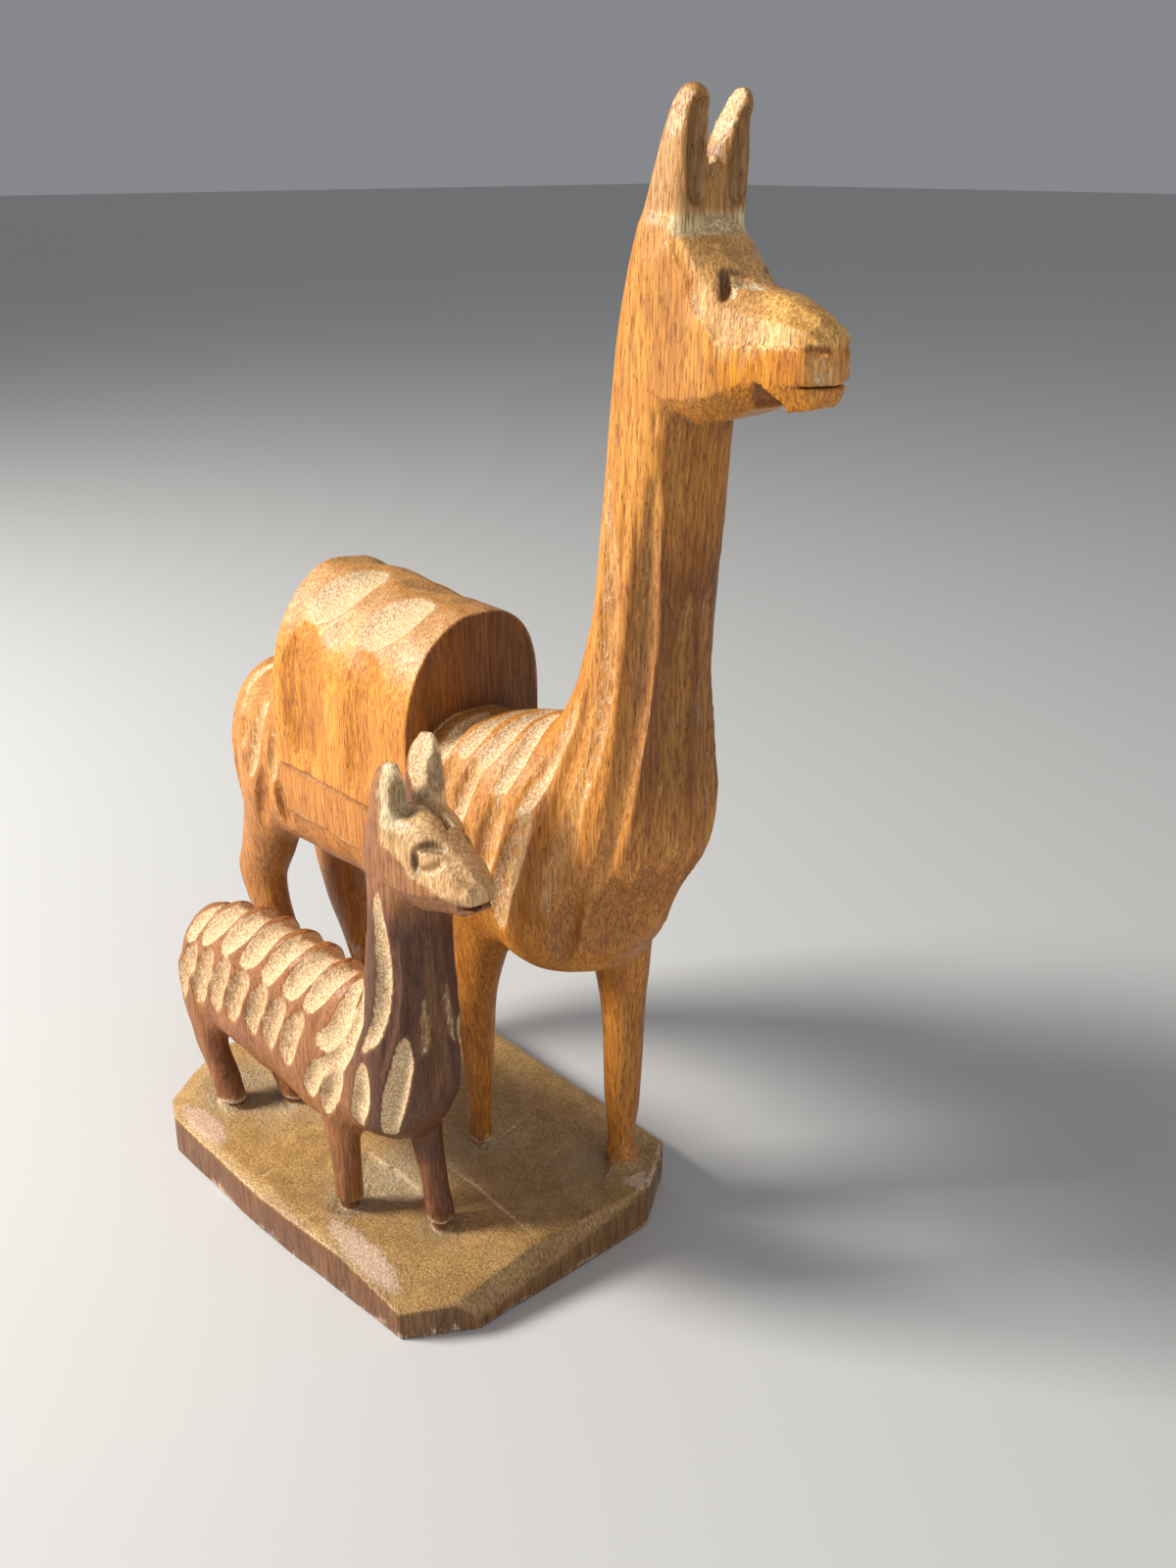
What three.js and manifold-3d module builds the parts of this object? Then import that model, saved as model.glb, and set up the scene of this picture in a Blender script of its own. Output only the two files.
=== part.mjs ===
// A llama with a loaded pack and her young one, hand-carved as one group from a single upright block of wood.
// Millimetres, +Z up. Both animals face +X, and the young one stands on the mother's right, towards -Y.
import * as THREE from "three";
import Module from "manifold-3d";

const wasm = await Module();
wasm.setup();

const DEGREES = Math.PI / 180;

// How many flats go round each kind of form.
const FLATS = { body: 20, leg: 8, ear: 8 };

// The upright planes, as places along Y, that the two animals are carved about.
const MOTHER_PLANE = 12;
const YOUNG_PLANE = -22.5;

// A row of a form is one ring: its place along the form's axis, the ring's centre on the two other axes,
// its two half widths, and how square it is, from 2 for an ellipse up.
const motherTorso = {
  axis: "x",
  flats: FLATS.body,
  rows: [
    [-73.5, 11, 83, 7, 12, 2],
    [-71, 11, 84, 11.5, 17, 2.2],
    [-64, 11.5, 85, 15.5, 20, 2.4],
    [-54, 11.5, 85.5, 17, 21.5, 2.6],
    [-43, 11, 86.5, 16.4, 22, 2.8],
    [-38, 11, 86.6, 15.6, 22, 3],
    [6, 11.3, 88, 15.8, 23, 2.7],
    [14, 11.6, 89, 16.6, 23.4, 2.4],
    [26, 12, 91, 16.5, 25, 2.3],
    [42, 12.5, 92, 15.5, 25, 2.2],
    [54, 12.5, 94, 12, 16, 2],
  ],
};

const motherNeck = {
  axis: "z",
  flats: FLATS.body,
  rows: [
    [67, 33, 12.5, 8, 7, 2],
    [69, 36, 12.5, 13, 11, 2],
    [74, 38.4, 12.5, 16.4, 14, 2],
    [81, 41.4, 12.5, 18.4, 15, 2],
    [88, 44.5, 12.5, 19.5, 15.5, 2],
    [95, 47.5, 12.5, 20.2, 15.5, 2],
    [102, 50.3, 12.5, 20, 15.3, 2],
    [109, 52.4, 12.5, 18.8, 14.8, 2],
    [117, 54.2, 12.5, 16.6, 13.2, 2],
    [127, 56.6, 12.5, 13.5, 11.5, 2],
    [138, 58.4, 12.5, 11.3, 10.3, 2.1],
    [150, 60, 12.5, 10.2, 9.7, 2.2],
    [165, 61.6, 12.4, 9.5, 9.2, 2.4],
    [180, 63.2, 12.2, 9.2, 9, 2.6],
    [190, 64.9, 12, 9.2, 8.8, 2.8],
    [199, 66, 12, 8.4, 8.6, 2.8],
    [207.4, 66.6, 12, 5.6, 8.2, 2.8],
  ],
};

const motherTail = {
  axis: "z",
  flats: FLATS.leg,
  rows: [
    [103, -66, 11.5, 3, 3.4, 2],
    [96, -71, 11.5, 3.4, 3.8, 2],
    [86, -73.6, 11.5, 3, 3.4, 2],
    [78, -74, 11.5, 1.4, 1.8, 2],
  ],
};

// A row of a head: place along X, then the heights of the jaw's underside, of the top of the jaw's upright
// band and of the crown or nose, and the half widths of the band and of the top.
const motherHead = {
  plane: MOTHER_PLANE,
  rows: [
    [64, 179, 200, 206, 8.4, 7.4],
    [70, 177.5, 203.5, 207.4, 8.5, 7.4],
    [73, 177.6, 199.5, 205.6, 8.5, 6.8],
    [75.5, 178, 195.6, 202.8, 8.4, 6],
    [80, 179.2, 190.2, 199.2, 7.9, 4.8],
    [84, 181, 190, 197.4, 7.1, 4.2],
    [89, 180.8, 190.3, 196.4, 6.2, 3.7],
    [94, 181.6, 190.3, 194.4, 4.9, 3],
    [96.8, 184, 188.6, 191.7, 3.6, 2.1],
  ],
};

// An ear's rows are rings across Z, sideways from the ear's own plane.
const motherEar = [
  [198, 66.4, 0, 5.8, 3.1, 2.8],
  [207, 67.4, 0, 5, 2.9, 2.8],
  [214, 68.9, 0, 3.9, 2.8, 2.8],
  [220, 70.2, 0, 2.9, 2.5, 2.6],
  [224, 71.2, 0, 2, 1.9, 2.2],
  [225, 71.2, 0, 1.3, 1.2, 2],
];
const motherEarPlanes = [7, 16.4];

const youngTorso = {
  axis: "x",
  flats: FLATS.body,
  rows: [
    [-55, YOUNG_PLANE, 39, 4, 7, 2],
    [-52, YOUNG_PLANE, 40, 7.5, 13, 2],
    [-44, YOUNG_PLANE, 42, 9, 16, 2.2],
    [-30, YOUNG_PLANE, 44.5, 9.5, 18, 2.2],
    [-10, YOUNG_PLANE, 45, 9.5, 19.6, 2.2],
    [8, YOUNG_PLANE, 46, 9.5, 19.5, 2.2],
    [22, YOUNG_PLANE, 49, 9.2, 17, 2.1],
    [31, YOUNG_PLANE, 50, 8, 14.5, 2],
    [37, YOUNG_PLANE, 51, 5, 9.5, 2],
  ],
};

const youngNeck = {
  axis: "z",
  flats: FLATS.body,
  rows: [
    [36, 21, YOUNG_PLANE, 6, 5, 2],
    [39, 23, YOUNG_PLANE, 10, 8, 2],
    [45, 26, YOUNG_PLANE, 12.5, 9, 2],
    [53, 28.5, YOUNG_PLANE, 12.2, 9.2, 2],
    [62, 30, YOUNG_PLANE, 10.8, 9, 2],
    [72, 30.8, YOUNG_PLANE, 9.3, 8.4, 2.1],
    [84, 31.2, YOUNG_PLANE, 8.2, 7.7, 2.2],
    [94, 32, YOUNG_PLANE, 7.8, 7.2, 2.6],
    [102, 32.6, YOUNG_PLANE, 7.2, 7, 3],
    [107.6, 33.4, YOUNG_PLANE, 6, 6.4, 3],
  ],
};

const youngHead = {
  plane: YOUNG_PLANE,
  rows: [
    [27, 91.5, 104, 107, 6.8, 5.6],
    [36.4, 92, 106, 110, 6.9, 5.2],
    [42, 92.5, 99.4, 109.4, 6.5, 4.4],
    [47, 93.5, 98.6, 106.5, 5.5, 3.4],
    [52, 94.5, 98.6, 103.5, 4.4, 2.6],
    [55, 96, 98.5, 101, 3.2, 2],
  ],
};

const youngEar = [
  [99, 32, 0, 5, 3, 2.4],
  [107, 32.4, 0, 4.8, 2.9, 2.4],
  [113, 32.8, 0, 4.3, 2.5, 2.4],
  [118.4, 33.6, 0, 3.1, 1.8, 2.2],
  [121, 34.2, 0, 1.6, 1, 2],
];
const youngEarPlanes = [YOUNG_PLANE - 4, YOUNG_PLANE + 4];
const youngEarLifts = [-2.5, 1];

// A leg's rows are rings across Z, from inside the body down into the base.
const legs = {
  motherFrontRight: [
    [84, 18, 5, 12, 6, 2],
    [73, 18, 4.6, 11, 5.8, 2],
    [64, 16.5, 4.8, 8, 5.2, 2],
    [54, 14.8, 5.2, 5.8, 4.4, 2],
    [42, 13.8, 5.8, 4.2, 3.7, 2.2],
    [28, 13.4, 6, 3.1, 3, 2.4],
    [16, 13.2, 6.2, 2.6, 2.6, 2.4],
    [6, 13.4, 6.2, 3.2, 3, 2.4],
  ],
  motherFrontLeft: [
    [86, 40, 19, 10, 6.6, 2],
    [74, 40.5, 21.5, 9, 6.2, 2],
    [64, 40.2, 23.4, 7, 5.2, 2],
    [54, 40, 24.4, 5.4, 4.6, 2],
    [40, 39.6, 24.9, 4.2, 3.8, 2.2],
    [26, 39.4, 25, 3.6, 3.4, 2.4],
    [15, 39.6, 25, 3.4, 3.2, 2.4],
    [10, 41, 24.4, 5, 4.2, 2.2],
    [6, 41.6, 24, 7, 5.6, 2.2],
  ],
  motherHindRight: [
    [86, -58, 3, 11, 7, 2],
    [70, -60, 2.5, 10, 6.6, 2],
    [58, -65, 2.2, 8.8, 5.6, 2],
    [50, -68.6, 2, 8.2, 5, 2],
    [43, -67, 2, 6.8, 4.5, 2],
    [36, -63.4, 2, 5.4, 4.1, 2.1],
    [26, -58.4, 2, 4.4, 3.7, 2.2],
    [16, -53, 2, 4.1, 3.5, 2.3],
    [6, -48, 2, 4.8, 3.9, 2.3],
  ],
  motherHindLeft: [
    [84, -54, 20, 12, 6.6, 2],
    [66, -58, 20.5, 10, 6, 2],
    [52, -63, 21, 8.4, 5.2, 2],
    [42, -61, 21, 7, 4.6, 2],
    [32, -56.5, 21, 5.2, 4, 2.2],
    [20, -50.5, 21, 4.6, 3.8, 2.3],
    [6, -44, 21, 5.2, 4.2, 2.3],
  ],
  youngFrontRight: [
    [42, 10, -27.5, 6, 4, 2],
    [32, 11, -28, 4.6, 3.4, 2],
    [23, 11.8, -28, 3.4, 2.9, 2.2],
    [6, 11.8, -28, 3.1, 2.9, 2.2],
  ],
  youngFrontLeft: [
    [44, 25.5, -18.5, 5.6, 4, 2],
    [32, 26.5, -17.8, 4.2, 3.4, 2],
    [22, 28, -17.5, 3.2, 2.7, 2.2],
    [6, 31.4, -17.5, 2.9, 2.7, 2.2],
  ],
  youngHindRight: [
    [44, -46, -27.5, 8.4, 4.4, 2],
    [32, -46.5, -28, 7, 4, 2],
    [24, -44, -28.4, 4.8, 3.4, 2.1],
    [15, -39, -28.4, 3.6, 3, 2.2],
    [6, -35, -28.4, 4, 3.2, 2.2],
  ],
  youngHindLeft: [
    [44, -44, -17.5, 9, 4.4, 2],
    [32, -42, -17, 7.4, 4, 2],
    [24, -38, -16.6, 5, 3.4, 2.1],
    [15, -31, -16.6, 3.6, 3, 2.2],
    [6, -26, -16.6, 4, 3.2, 2.2],
  ],
};

// The pack is one round-topped block over the back, squarer on its far side, with a blanket under it.
const pack = {
  ends: [
    { x: -42, centreY: 11.6, halfWidth: 17.6, ridge: 133.6 },
    { x: 8, centreY: 12, halfWidth: 17.4, ridge: 131.2 },
  ],
  foot: 89.5,
  shoulder: 107,
  nearSquareness: 1.95,
  farSquareness: 3.2,
  steps: 12,
};
const packAxis = { axis: "x", rows: pack.ends.map(({ x, centreY }) => [x, centreY, pack.shoulder]) };

const blanket = { rear: -42.6, front: 8.6, centreY: 11.2, halfWidth: 16.6, low: 81, high: 95 };

const base = {
  height: 10.4,
  outline: [
    [-50, -37.6],
    [-42, -41.2],
    [-5, -41],
    [42, -37],
    [50.4, -23.5],
    [50.4, 22.8],
    [40.4, 37.2],
    [-30, 37.6],
    [-50, 33],
    [-60, 20],
    [-63, 0],
    [-61.2, -18.6],
    [-56.8, -29.2],
  ],
};

// Three points on each flat that the knife left across the base's top edges.
const baseFacets = {
  nearCorner: [[20, -39, 10.4], [47.6, -5, 10.4], [44.5, -33, 6.6]],
  frontChamferNear: [[47.6, -5, 10.4], [50.4, -6, 7.3], [50.4, -22, 4.6]],
  frontChamferFar: [[47.4, -6, 10.4], [49.2, 17, 10.4], [50.4, 8, 7]],
  nearEdge: [[-42, -39.4, 10.4], [36, -36.4, 10.4], [0, -40.6, 9.2]],
  rearCorner: [[-46, -34, 10.4], [-57, -20, 10.4], [-56.8, -30, 8.2]],
  rearEdge: [[-59, -14, 10.4], [-57, 16, 10.4], [-62.5, 2, 8.8]],
  farEdge: [[-34, 34.6, 10.4], [24, 35.4, 10.4], [0, 37.6, 9.2]],
};

// The low ridge left in front of the mother's left forefoot: its crest, then its sides at the base's top.
const footRidge = { crest: [[38, 25, 15], [49, 21.6, 10.6]], sides: [[44, 14.5, 9], [44, 33, 9]] };

// Each gouge is a round blade: its radius, how deep its middle goes into the wood, and its flats here.
const gouges = {
  fine: { radius: 2.8, depth: 0.8, flats: 8 },
  flute: { radius: 3.4, depth: 1.2, flats: 8 },
  wide: { radius: 4.6, depth: 1.5, flats: 8 },
  leaf: { radius: 3.6, depth: 1.3, flats: 8 },
  scoop: { radius: 11, depth: 1.3, flats: 18 },
  trough: { radius: 14, depth: 1.4, flats: 20 },
  ear: { radius: 2.5, depth: 1.6, flats: 8 },
};

function cut(form, gouge, ...path) {
  return { form, gouge: gouges[gouge], path };
}

// A row of like cuts: the first starts at the given place along the form, and each crosses the same angles
// while it drifts along the form.
function cutRow(form, gouge, { count, from, step, angles, drift }) {
  return Array.from({ length: count }, (_, i) => {
    const start = from + i * step;
    const path = angles.map((angle, k) => [start + (drift * k) / (angles.length - 1), angle]);
    return { form, gouge: gouges[gouge], path };
  });
}

// The same cuts on the form's other side.
function mirrored(cuts) {
  return cuts.map(({ form, gouge, path }) => {
    const turned = path.map(([along, angle]) => [along, form.axis === "z" ? -angle : 180 - angle]);
    return { form, gouge, path: turned };
  });
}

// A cut's path is a list of places on its form: along its axis, and the angle in degrees round it,
// from +X round a neck and from +Y round a body.
const neckCuts = [
  cut(motherNeck, "flute", [167, -128], [158, -99], [143, -91], [129, -81], [115, -77], [98, -75]),
  cut(motherNeck, "wide", [101, -75], [94, -76], [87, -77]),
  cut(motherNeck, "flute", [164, -58], [150, -48], [135, -50], [119, -47], [107, -50], [91, -47]),
  cut(motherNeck, "flute", [146, -14], [132, -20], [117, -17], [104, -17], [92, -17]),
  cut(motherNeck, "wide", [133, -124], [118, -117], [104, -115], [92, -110], [80, -117]),
  cut(motherNeck, "wide", [90, -40], [82, -48], [73, -49]),
  cut(motherNeck, "wide", [94, -18], [88, -27], [80, -31]),
];
const breastCut = cut(motherNeck, "flute", [141, 8], [122, 1], [110, -2], [96, -2]);

const shoulderCuts = [
  cut(motherTorso, "wide", [36, 92], [38, 114], [35, 136]),
  cut(motherTorso, "wide", [34, 138], [33, 162], [31, 188]),
  cut(motherTorso, "leaf", [31, 88], [32, 104], [28, 119]),
  cut(motherTorso, "wide", [22, 86], [23, 106], [20, 122]),
  cut(motherTorso, "leaf", [14, 86], [15, 104], [12, 118]),
  cut(motherTorso, "leaf", [26, 128], [24, 141], [22, 154]),
];

const rumpCuts = [
  cut(motherTorso, "wide", [-61, 112], [-63, 128], [-64, 146]),
  cut(motherTorso, "wide", [-55, 124], [-56, 155], [-58, 188]),
  cut(motherTorso, "wide", [-47, 138], [-48, 165], [-49, 192]),
  cut(motherTorso, "wide", [-65, 158], [-66, 184], [-65, 216]),
];

const packSideCuts = [
  cut(packAxis, "trough", [-31, 133], [-29.5, 155], [-29.5, 185], [-29.5, 210]),
  cut(packAxis, "trough", [-9, 134], [-6.5, 155], [-7, 185], [-8, 211]),
];

const packTopCuts = [
  cut(packAxis, "scoop", [-31, 124], [-28, 107], [-25, 90]),
  cut(packAxis, "scoop", [-10, 128], [-6, 112], [-2, 96]),
  cut(packAxis, "scoop", [-36, 86], [-35, 73]),
  cut(packAxis, "scoop", [-14, 86], [-10, 68]),
  cut(packAxis, "scoop", [-26, 62], [-22, 45]),
];

const youngBackCuts = cutRow(youngTorso, "leaf", {
  count: 8,
  from: -38,
  step: 7.5,
  angles: [90, 106, 122],
  drift: -3.6,
});
const youngFlankCuts = cutRow(youngTorso, "leaf", {
  count: 8,
  from: -34,
  step: 8.4,
  angles: [134, 165, 200],
  drift: -8,
});

const youngNeckCuts = [
  cut(youngNeck, "fine", [90, -78], [77, -73], [66, -80], [56, -96]),
  cut(youngNeck, "fine", [80, -14], [68, -20], [57, -26]),
  cut(youngNeck, "leaf", [63, -44], [54, -46], [42, -47]),
  cut(youngNeck, "leaf", [58, -72], [50, -76], [41, -78]),
];

// The hollow down the front of each ear, as places in X and Z.
const motherEarHollow = [[72, 200], [72.5, 208], [72.8, 216], [73.2, 224]];
const youngEarHollow = [[37.4, 101], [37.2, 108], [36.9, 114], [36, 121]];

// Knife chips are three-sided pits: the corners on the surface, then the deepest point.
const motherChips = {
  eye: [[76.8, 6.4, 200.2], [84, 10.2, 198.2], [80.2, 5.6, 195.2], [80, 9, 197.6]],
  nostril: [[93.2, 6.9, 191.2], [97.4, 10.4, 191.2], [97, 8.4, 188.6], [95.8, 9.3, 190]],
};
const youngChips = {
  eye: [[41.8, -28.2, 104.4], [46.4, -25.4, 106.6], [45.4, -28.1, 101.4], [44.8, -26.3, 103.4]],
};

// Cuts straight through a head, as outlines in X and Z.
const motherMouth = {
  slit: [[87.6, 184.8], [99, 186.2], [99, 184.6]],
  chin: [[84.2, 179], [86.6, 184.6], [89, 180], [88, 178]],
  lip: [[99, 186], [95.6, 184.9], [93.4, 179], [99, 179]],
};
const youngMouth = { slit: [[50.4, 95.9], [57, 97.6], [57, 96]] };

// Joins two rings, or a ring and the next, into a closed body. All rings have the same number of points.
function solidFromRings(rings) {
  const count = rings[0].length;
  const positions = rings.flat(2);
  const triangles = [];
  for (let r = 0; r + 1 < rings.length; r++) {
    for (let i = 0; i < count; i++) {
      const a = r * count + i;
      const b = r * count + ((i + 1) % count);
      triangles.push(a, b, b + count, a, b + count, a + count);
    }
  }
  const last = rings.length - 1;
  for (const r of [0, last]) {
    const centre = positions.length / 3;
    for (let k = 0; k < 3; k++) {
      positions.push(rings[r].reduce((sum, point) => sum + point[k] / count, 0));
    }
    for (let i = 0; i < count; i++) {
      const a = r * count + i;
      const b = r * count + ((i + 1) % count);
      triangles.push(centre, ...(r === last ? [a, b] : [b, a]));
    }
  }
  return solidFromTriangles(positions, triangles);
}

// A manifold solid with its faces pointing out, whichever way round the triangles were listed.
function solidFromTriangles(positions, triangles) {
  const solidOf = (triVerts) =>
    new wasm.Manifold(
      new wasm.Mesh({
        numProp: 3,
        vertProperties: new Float32Array(positions),
        triVerts: new Uint32Array(triVerts),
      }),
    );
  const solid = solidOf(triangles);
  return solid.volume() > 0 ? solid : solidOf([...triangles].reverse());
}

function joined(solids) {
  return solids.reduce((whole, solid) => whole.add(solid));
}

function cutAway(solid, tools) {
  return tools.reduce((rest, tool) => rest.subtract(tool), solid);
}

function power(value, exponent) {
  return Math.sign(value) * Math.abs(value) ** exponent;
}

// A place along a form's axis and two places across it, put back in the order x, y, z.
function placed(axis, along, u, v) {
  return axis === "x" ? [along, u, v] : [u, v, along];
}

function ringOf({ axis, flats }, [along, centreU, centreV, halfU, halfV, squareness]) {
  return Array.from({ length: flats }, (_, i) => {
    const turn = ((i + 0.5) / flats) * 2 * Math.PI;
    const u = centreU + halfU * power(Math.cos(turn), 2 / squareness);
    const v = centreV + halfV * power(Math.sin(turn), 2 / squareness);
    return placed(axis, along, u, v);
  });
}

function loft(form) {
  return solidFromRings(form.rows.map((row) => ringOf(form, row)));
}

function legSolid(rows) {
  return loft({ axis: "z", flats: FLATS.leg, rows });
}

function earSolid(rows, plane, lift = 0) {
  const placedRows = rows.map(([z, x, side, ...rest]) => [z + lift, x, plane + side, ...rest]);
  return loft({ axis: "z", flats: FLATS.ear, rows: placedRows });
}

// A head is cut in flats: an upright band for the jaw, then cheeks that slope in to the top.
function headSolid({ plane, rows }) {
  const underJaw = { inset: 0.6, rise: 4 };
  const topEdge = { inset: 0.5, drop: 1.6 };
  const cheekSwell = 0.6;
  const rings = rows.map(([x, low, band, top, wide, narrow]) => {
    const half = [
      [wide * underJaw.inset, low],
      [wide, low + underJaw.rise],
      [wide, band],
      [(wide + narrow) / 2, (band + top) / 2 + cheekSwell],
      [narrow, top - topEdge.drop],
      [narrow * topEdge.inset, top],
    ];
    const right = half.map(([side, z]) => [x, plane - side, z]);
    const left = half.map(([side, z]) => [x, plane + side, z]).reverse();
    return [...right, ...left];
  });
  return solidFromRings(rings);
}

function packSolid() {
  const { shoulder, foot, nearSquareness, farSquareness, steps } = pack;
  const rings = pack.ends.map(({ x, centreY, halfWidth, ridge }) => {
    const ring = [
      [x, centreY - halfWidth, foot],
      [x, centreY + halfWidth, foot],
    ];
    for (let i = 0; i <= steps; i++) {
      const turn = (i / steps) * Math.PI;
      const bend = 2 / (Math.cos(turn) > 0 ? farSquareness : nearSquareness);
      const y = centreY + halfWidth * power(Math.cos(turn), bend);
      ring.push([x, y, shoulder + (ridge - shoulder) * power(Math.sin(turn), bend)]);
    }
    return ring;
  });
  return solidFromRings(rings);
}

function blanketSolid() {
  const { rear, front, centreY, halfWidth, low, high } = blanket;
  const section = [
    [centreY - halfWidth, low],
    [centreY + halfWidth, low],
    [centreY + halfWidth, high],
    [centreY - halfWidth, high],
  ];
  return solidFromRings([rear, front].map((x) => section.map(([y, z]) => [x, y, z])));
}

// A block that stands on the flat through three points and reaches away from the wood.
function blockAbove([a, b, c]) {
  const reach = 60;
  const origin = new THREE.Vector3(...a);
  const along = new THREE.Vector3(...b).sub(origin).normalize();
  const normal = along.clone().cross(new THREE.Vector3(...c).sub(origin)).normalize();
  if (normal.z < 0) normal.negate();
  const across = normal.clone().cross(along);
  const corner = (u, v, w) =>
    origin
      .clone()
      .addScaledVector(along, u * reach)
      .addScaledVector(across, v * reach)
      .addScaledVector(normal, w * reach)
      .toArray();
  const square = [[-1, -1], [1, -1], [1, 1], [-1, 1]];
  return solidFromRings([0, 1].map((w) => square.map(([u, v]) => corner(u, v, w))));
}

function baseSolid() {
  const slab = solidFromRings([0, base.height].map((z) => base.outline.map(([x, y]) => [x, y, z])));
  const faceted = cutAway(slab, Object.values(baseFacets).map(blockAbove));
  const [top, toe] = footRidge.crest;
  const [right, left] = footRidge.sides;
  const under = [top[0], top[1], right[2]];
  const ridge = solidFromTriangles(
    [top, toe, right, left, under].flat(),
    [0, 1, 2, 0, 3, 1, 0, 2, 4, 0, 4, 3, 1, 3, 4, 1, 4, 2],
  );
  return faceted.add(ridge);
}

function geometryOf(solid) {
  const { vertProperties, triVerts } = solid.getMesh();
  const geometry = new THREE.BufferGeometry();
  geometry.setAttribute("position", new THREE.BufferAttribute(vertProperties, 3));
  geometry.setIndex(new THREE.BufferAttribute(triVerts, 1));
  geometry.computeVertexNormals();
  return geometry;
}

// The centre of a form at a place along its axis.
function centreAt({ rows }, along) {
  const ordered = rows[0][0] < rows[1][0] ? rows : [...rows].reverse();
  const next = Math.max(1, ordered.findIndex((row) => row[0] >= along));
  const [low, high] = [ordered[next - 1], ordered[next]];
  const share = (along - low[0]) / (high[0] - low[0]);
  return [1, 2].map((k) => low[k] + share * (high[k] - low[k]));
}

// Looks from outside at a form's axis and gives where the wood's surface is met, and its normal there.
function surfaceAt(wood, form, along, angle) {
  const reach = 80;
  const centre = new THREE.Vector3(...placed(form.axis, along, ...centreAt(form, along)));
  const outward = new THREE.Vector3(...placed(form.axis, 0, Math.cos(angle), Math.sin(angle)));
  const eye = centre.clone().addScaledVector(outward, reach);
  const [hit] = new THREE.Raycaster(eye, outward.clone().negate()).intersectObject(wood);
  return { point: hit.point, normal: hit.face.normal };
}

// The path of a gouge's edge: it comes down into the surface, runs along it and comes up again.
function sweepOf(stops, { radius, depth, flats }) {
  const plunge = 0.7;
  const centres = stops.map(({ point, normal }, i) => {
    const sunk = depth * Math.sin((i / (stops.length - 1)) * Math.PI) ** plunge;
    return point.clone().addScaledVector(normal, radius - sunk);
  });
  const rings = centres.map((centre, i) => {
    const before = centres[Math.max(i - 1, 0)];
    const after = centres[Math.min(i + 1, centres.length - 1)];
    const along = after.clone().sub(before).normalize();
    const across = along.clone().cross(stops[i].normal).normalize();
    const down = along.clone().cross(across).normalize();
    return Array.from({ length: flats }, (_, k) => {
      const turn = (k / flats) * 2 * Math.PI;
      const side = centre.clone().addScaledVector(across, radius * Math.sin(turn));
      return side.addScaledVector(down, radius * Math.cos(turn)).toArray();
    });
  });
  return solidFromRings(rings);
}

// A cut's path is smoothed, then laid on the wood at even steps.
function gougeSolid(wood, { form, gouge, path }) {
  const stepLength = 9;
  const curve = new THREE.CatmullRomCurve3(path.map(([along, angle]) => new THREE.Vector3(along, angle, 0)));
  const ends = [path[0], path[path.length - 1]].map(([along, angle]) =>
    surfaceAt(wood, form, along, angle * DEGREES),
  );
  const steps = Math.max(4, Math.round(ends[0].point.distanceTo(ends[1].point) / stepLength));
  const stops = Array.from({ length: steps + 1 }, (_, i) => {
    const place = curve.getPoint(i / steps);
    return surfaceAt(wood, form, place.x, place.y * DEGREES);
  });
  return sweepOf(stops, gouge);
}

function carved(solid, cuts) {
  const wood = new THREE.Mesh(geometryOf(solid));
  wood.updateMatrixWorld();
  return cutAway(solid, cuts.map((one) => gougeSolid(wood, one)));
}

function earHollow(path, plane, lift = 0) {
  const forward = new THREE.Vector3(1, 0, 0);
  const stops = path.map(([x, z]) => ({ point: new THREE.Vector3(x, plane, z + lift), normal: forward }));
  return sweepOf(stops, gouges.ear);
}

// A three-sided pit, widened outwards so that it opens through the surface.
function chipSolid(corners, plane, mirror) {
  const flare = 1.8;
  const points = corners.map(([x, y, z]) => [x, mirror ? 2 * plane - y : y, z]);
  const apex = points[3];
  const rim = points.slice(0, 3).map((corner) => corner.map((v, k) => apex[k] + flare * (v - apex[k])));
  return solidFromTriangles([...rim, apex].flat(), [0, 1, 2, 0, 3, 1, 1, 3, 2, 2, 3, 0]);
}

function chipSolids(chips, plane) {
  return Object.values(chips).flatMap((corners) => [
    chipSolid(corners, plane, false),
    chipSolid(corners, plane, true),
  ]);
}

function throughCut(outline, plane) {
  const halfWidth = 12;
  const sides = [plane - halfWidth, plane + halfWidth];
  return solidFromRings(sides.map((y) => outline.map(([x, z]) => [x, y, z])));
}

function motherSolid() {
  const body = joined([
    loft(motherTorso),
    loft(motherNeck),
    loft(motherTail),
    legSolid(legs.motherFrontRight),
    legSolid(legs.motherFrontLeft),
    legSolid(legs.motherHindRight),
    legSolid(legs.motherHindLeft),
  ]);
  const bodyCuts = [
    ...neckCuts,
    ...mirrored(neckCuts),
    breastCut,
    ...shoulderCuts,
    ...mirrored(shoulderCuts.slice(0, 3)),
    ...rumpCuts,
    ...mirrored(rumpCuts),
  ];
  const head = cutAway(headSolid(motherHead), [
    ...Object.values(motherMouth).map((outline) => throughCut(outline, MOTHER_PLANE)),
    ...chipSolids(motherChips, MOTHER_PLANE),
  ]);
  const ears = motherEarPlanes.map((plane) =>
    earSolid(motherEar, plane).subtract(earHollow(motherEarHollow, plane)),
  );
  return joined([carved(body, bodyCuts), head, ...ears]);
}

function loadSolid() {
  const cuts = [...packSideCuts, ...mirrored(packSideCuts), ...packTopCuts];
  return carved(packSolid(), cuts).add(blanketSolid());
}

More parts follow.
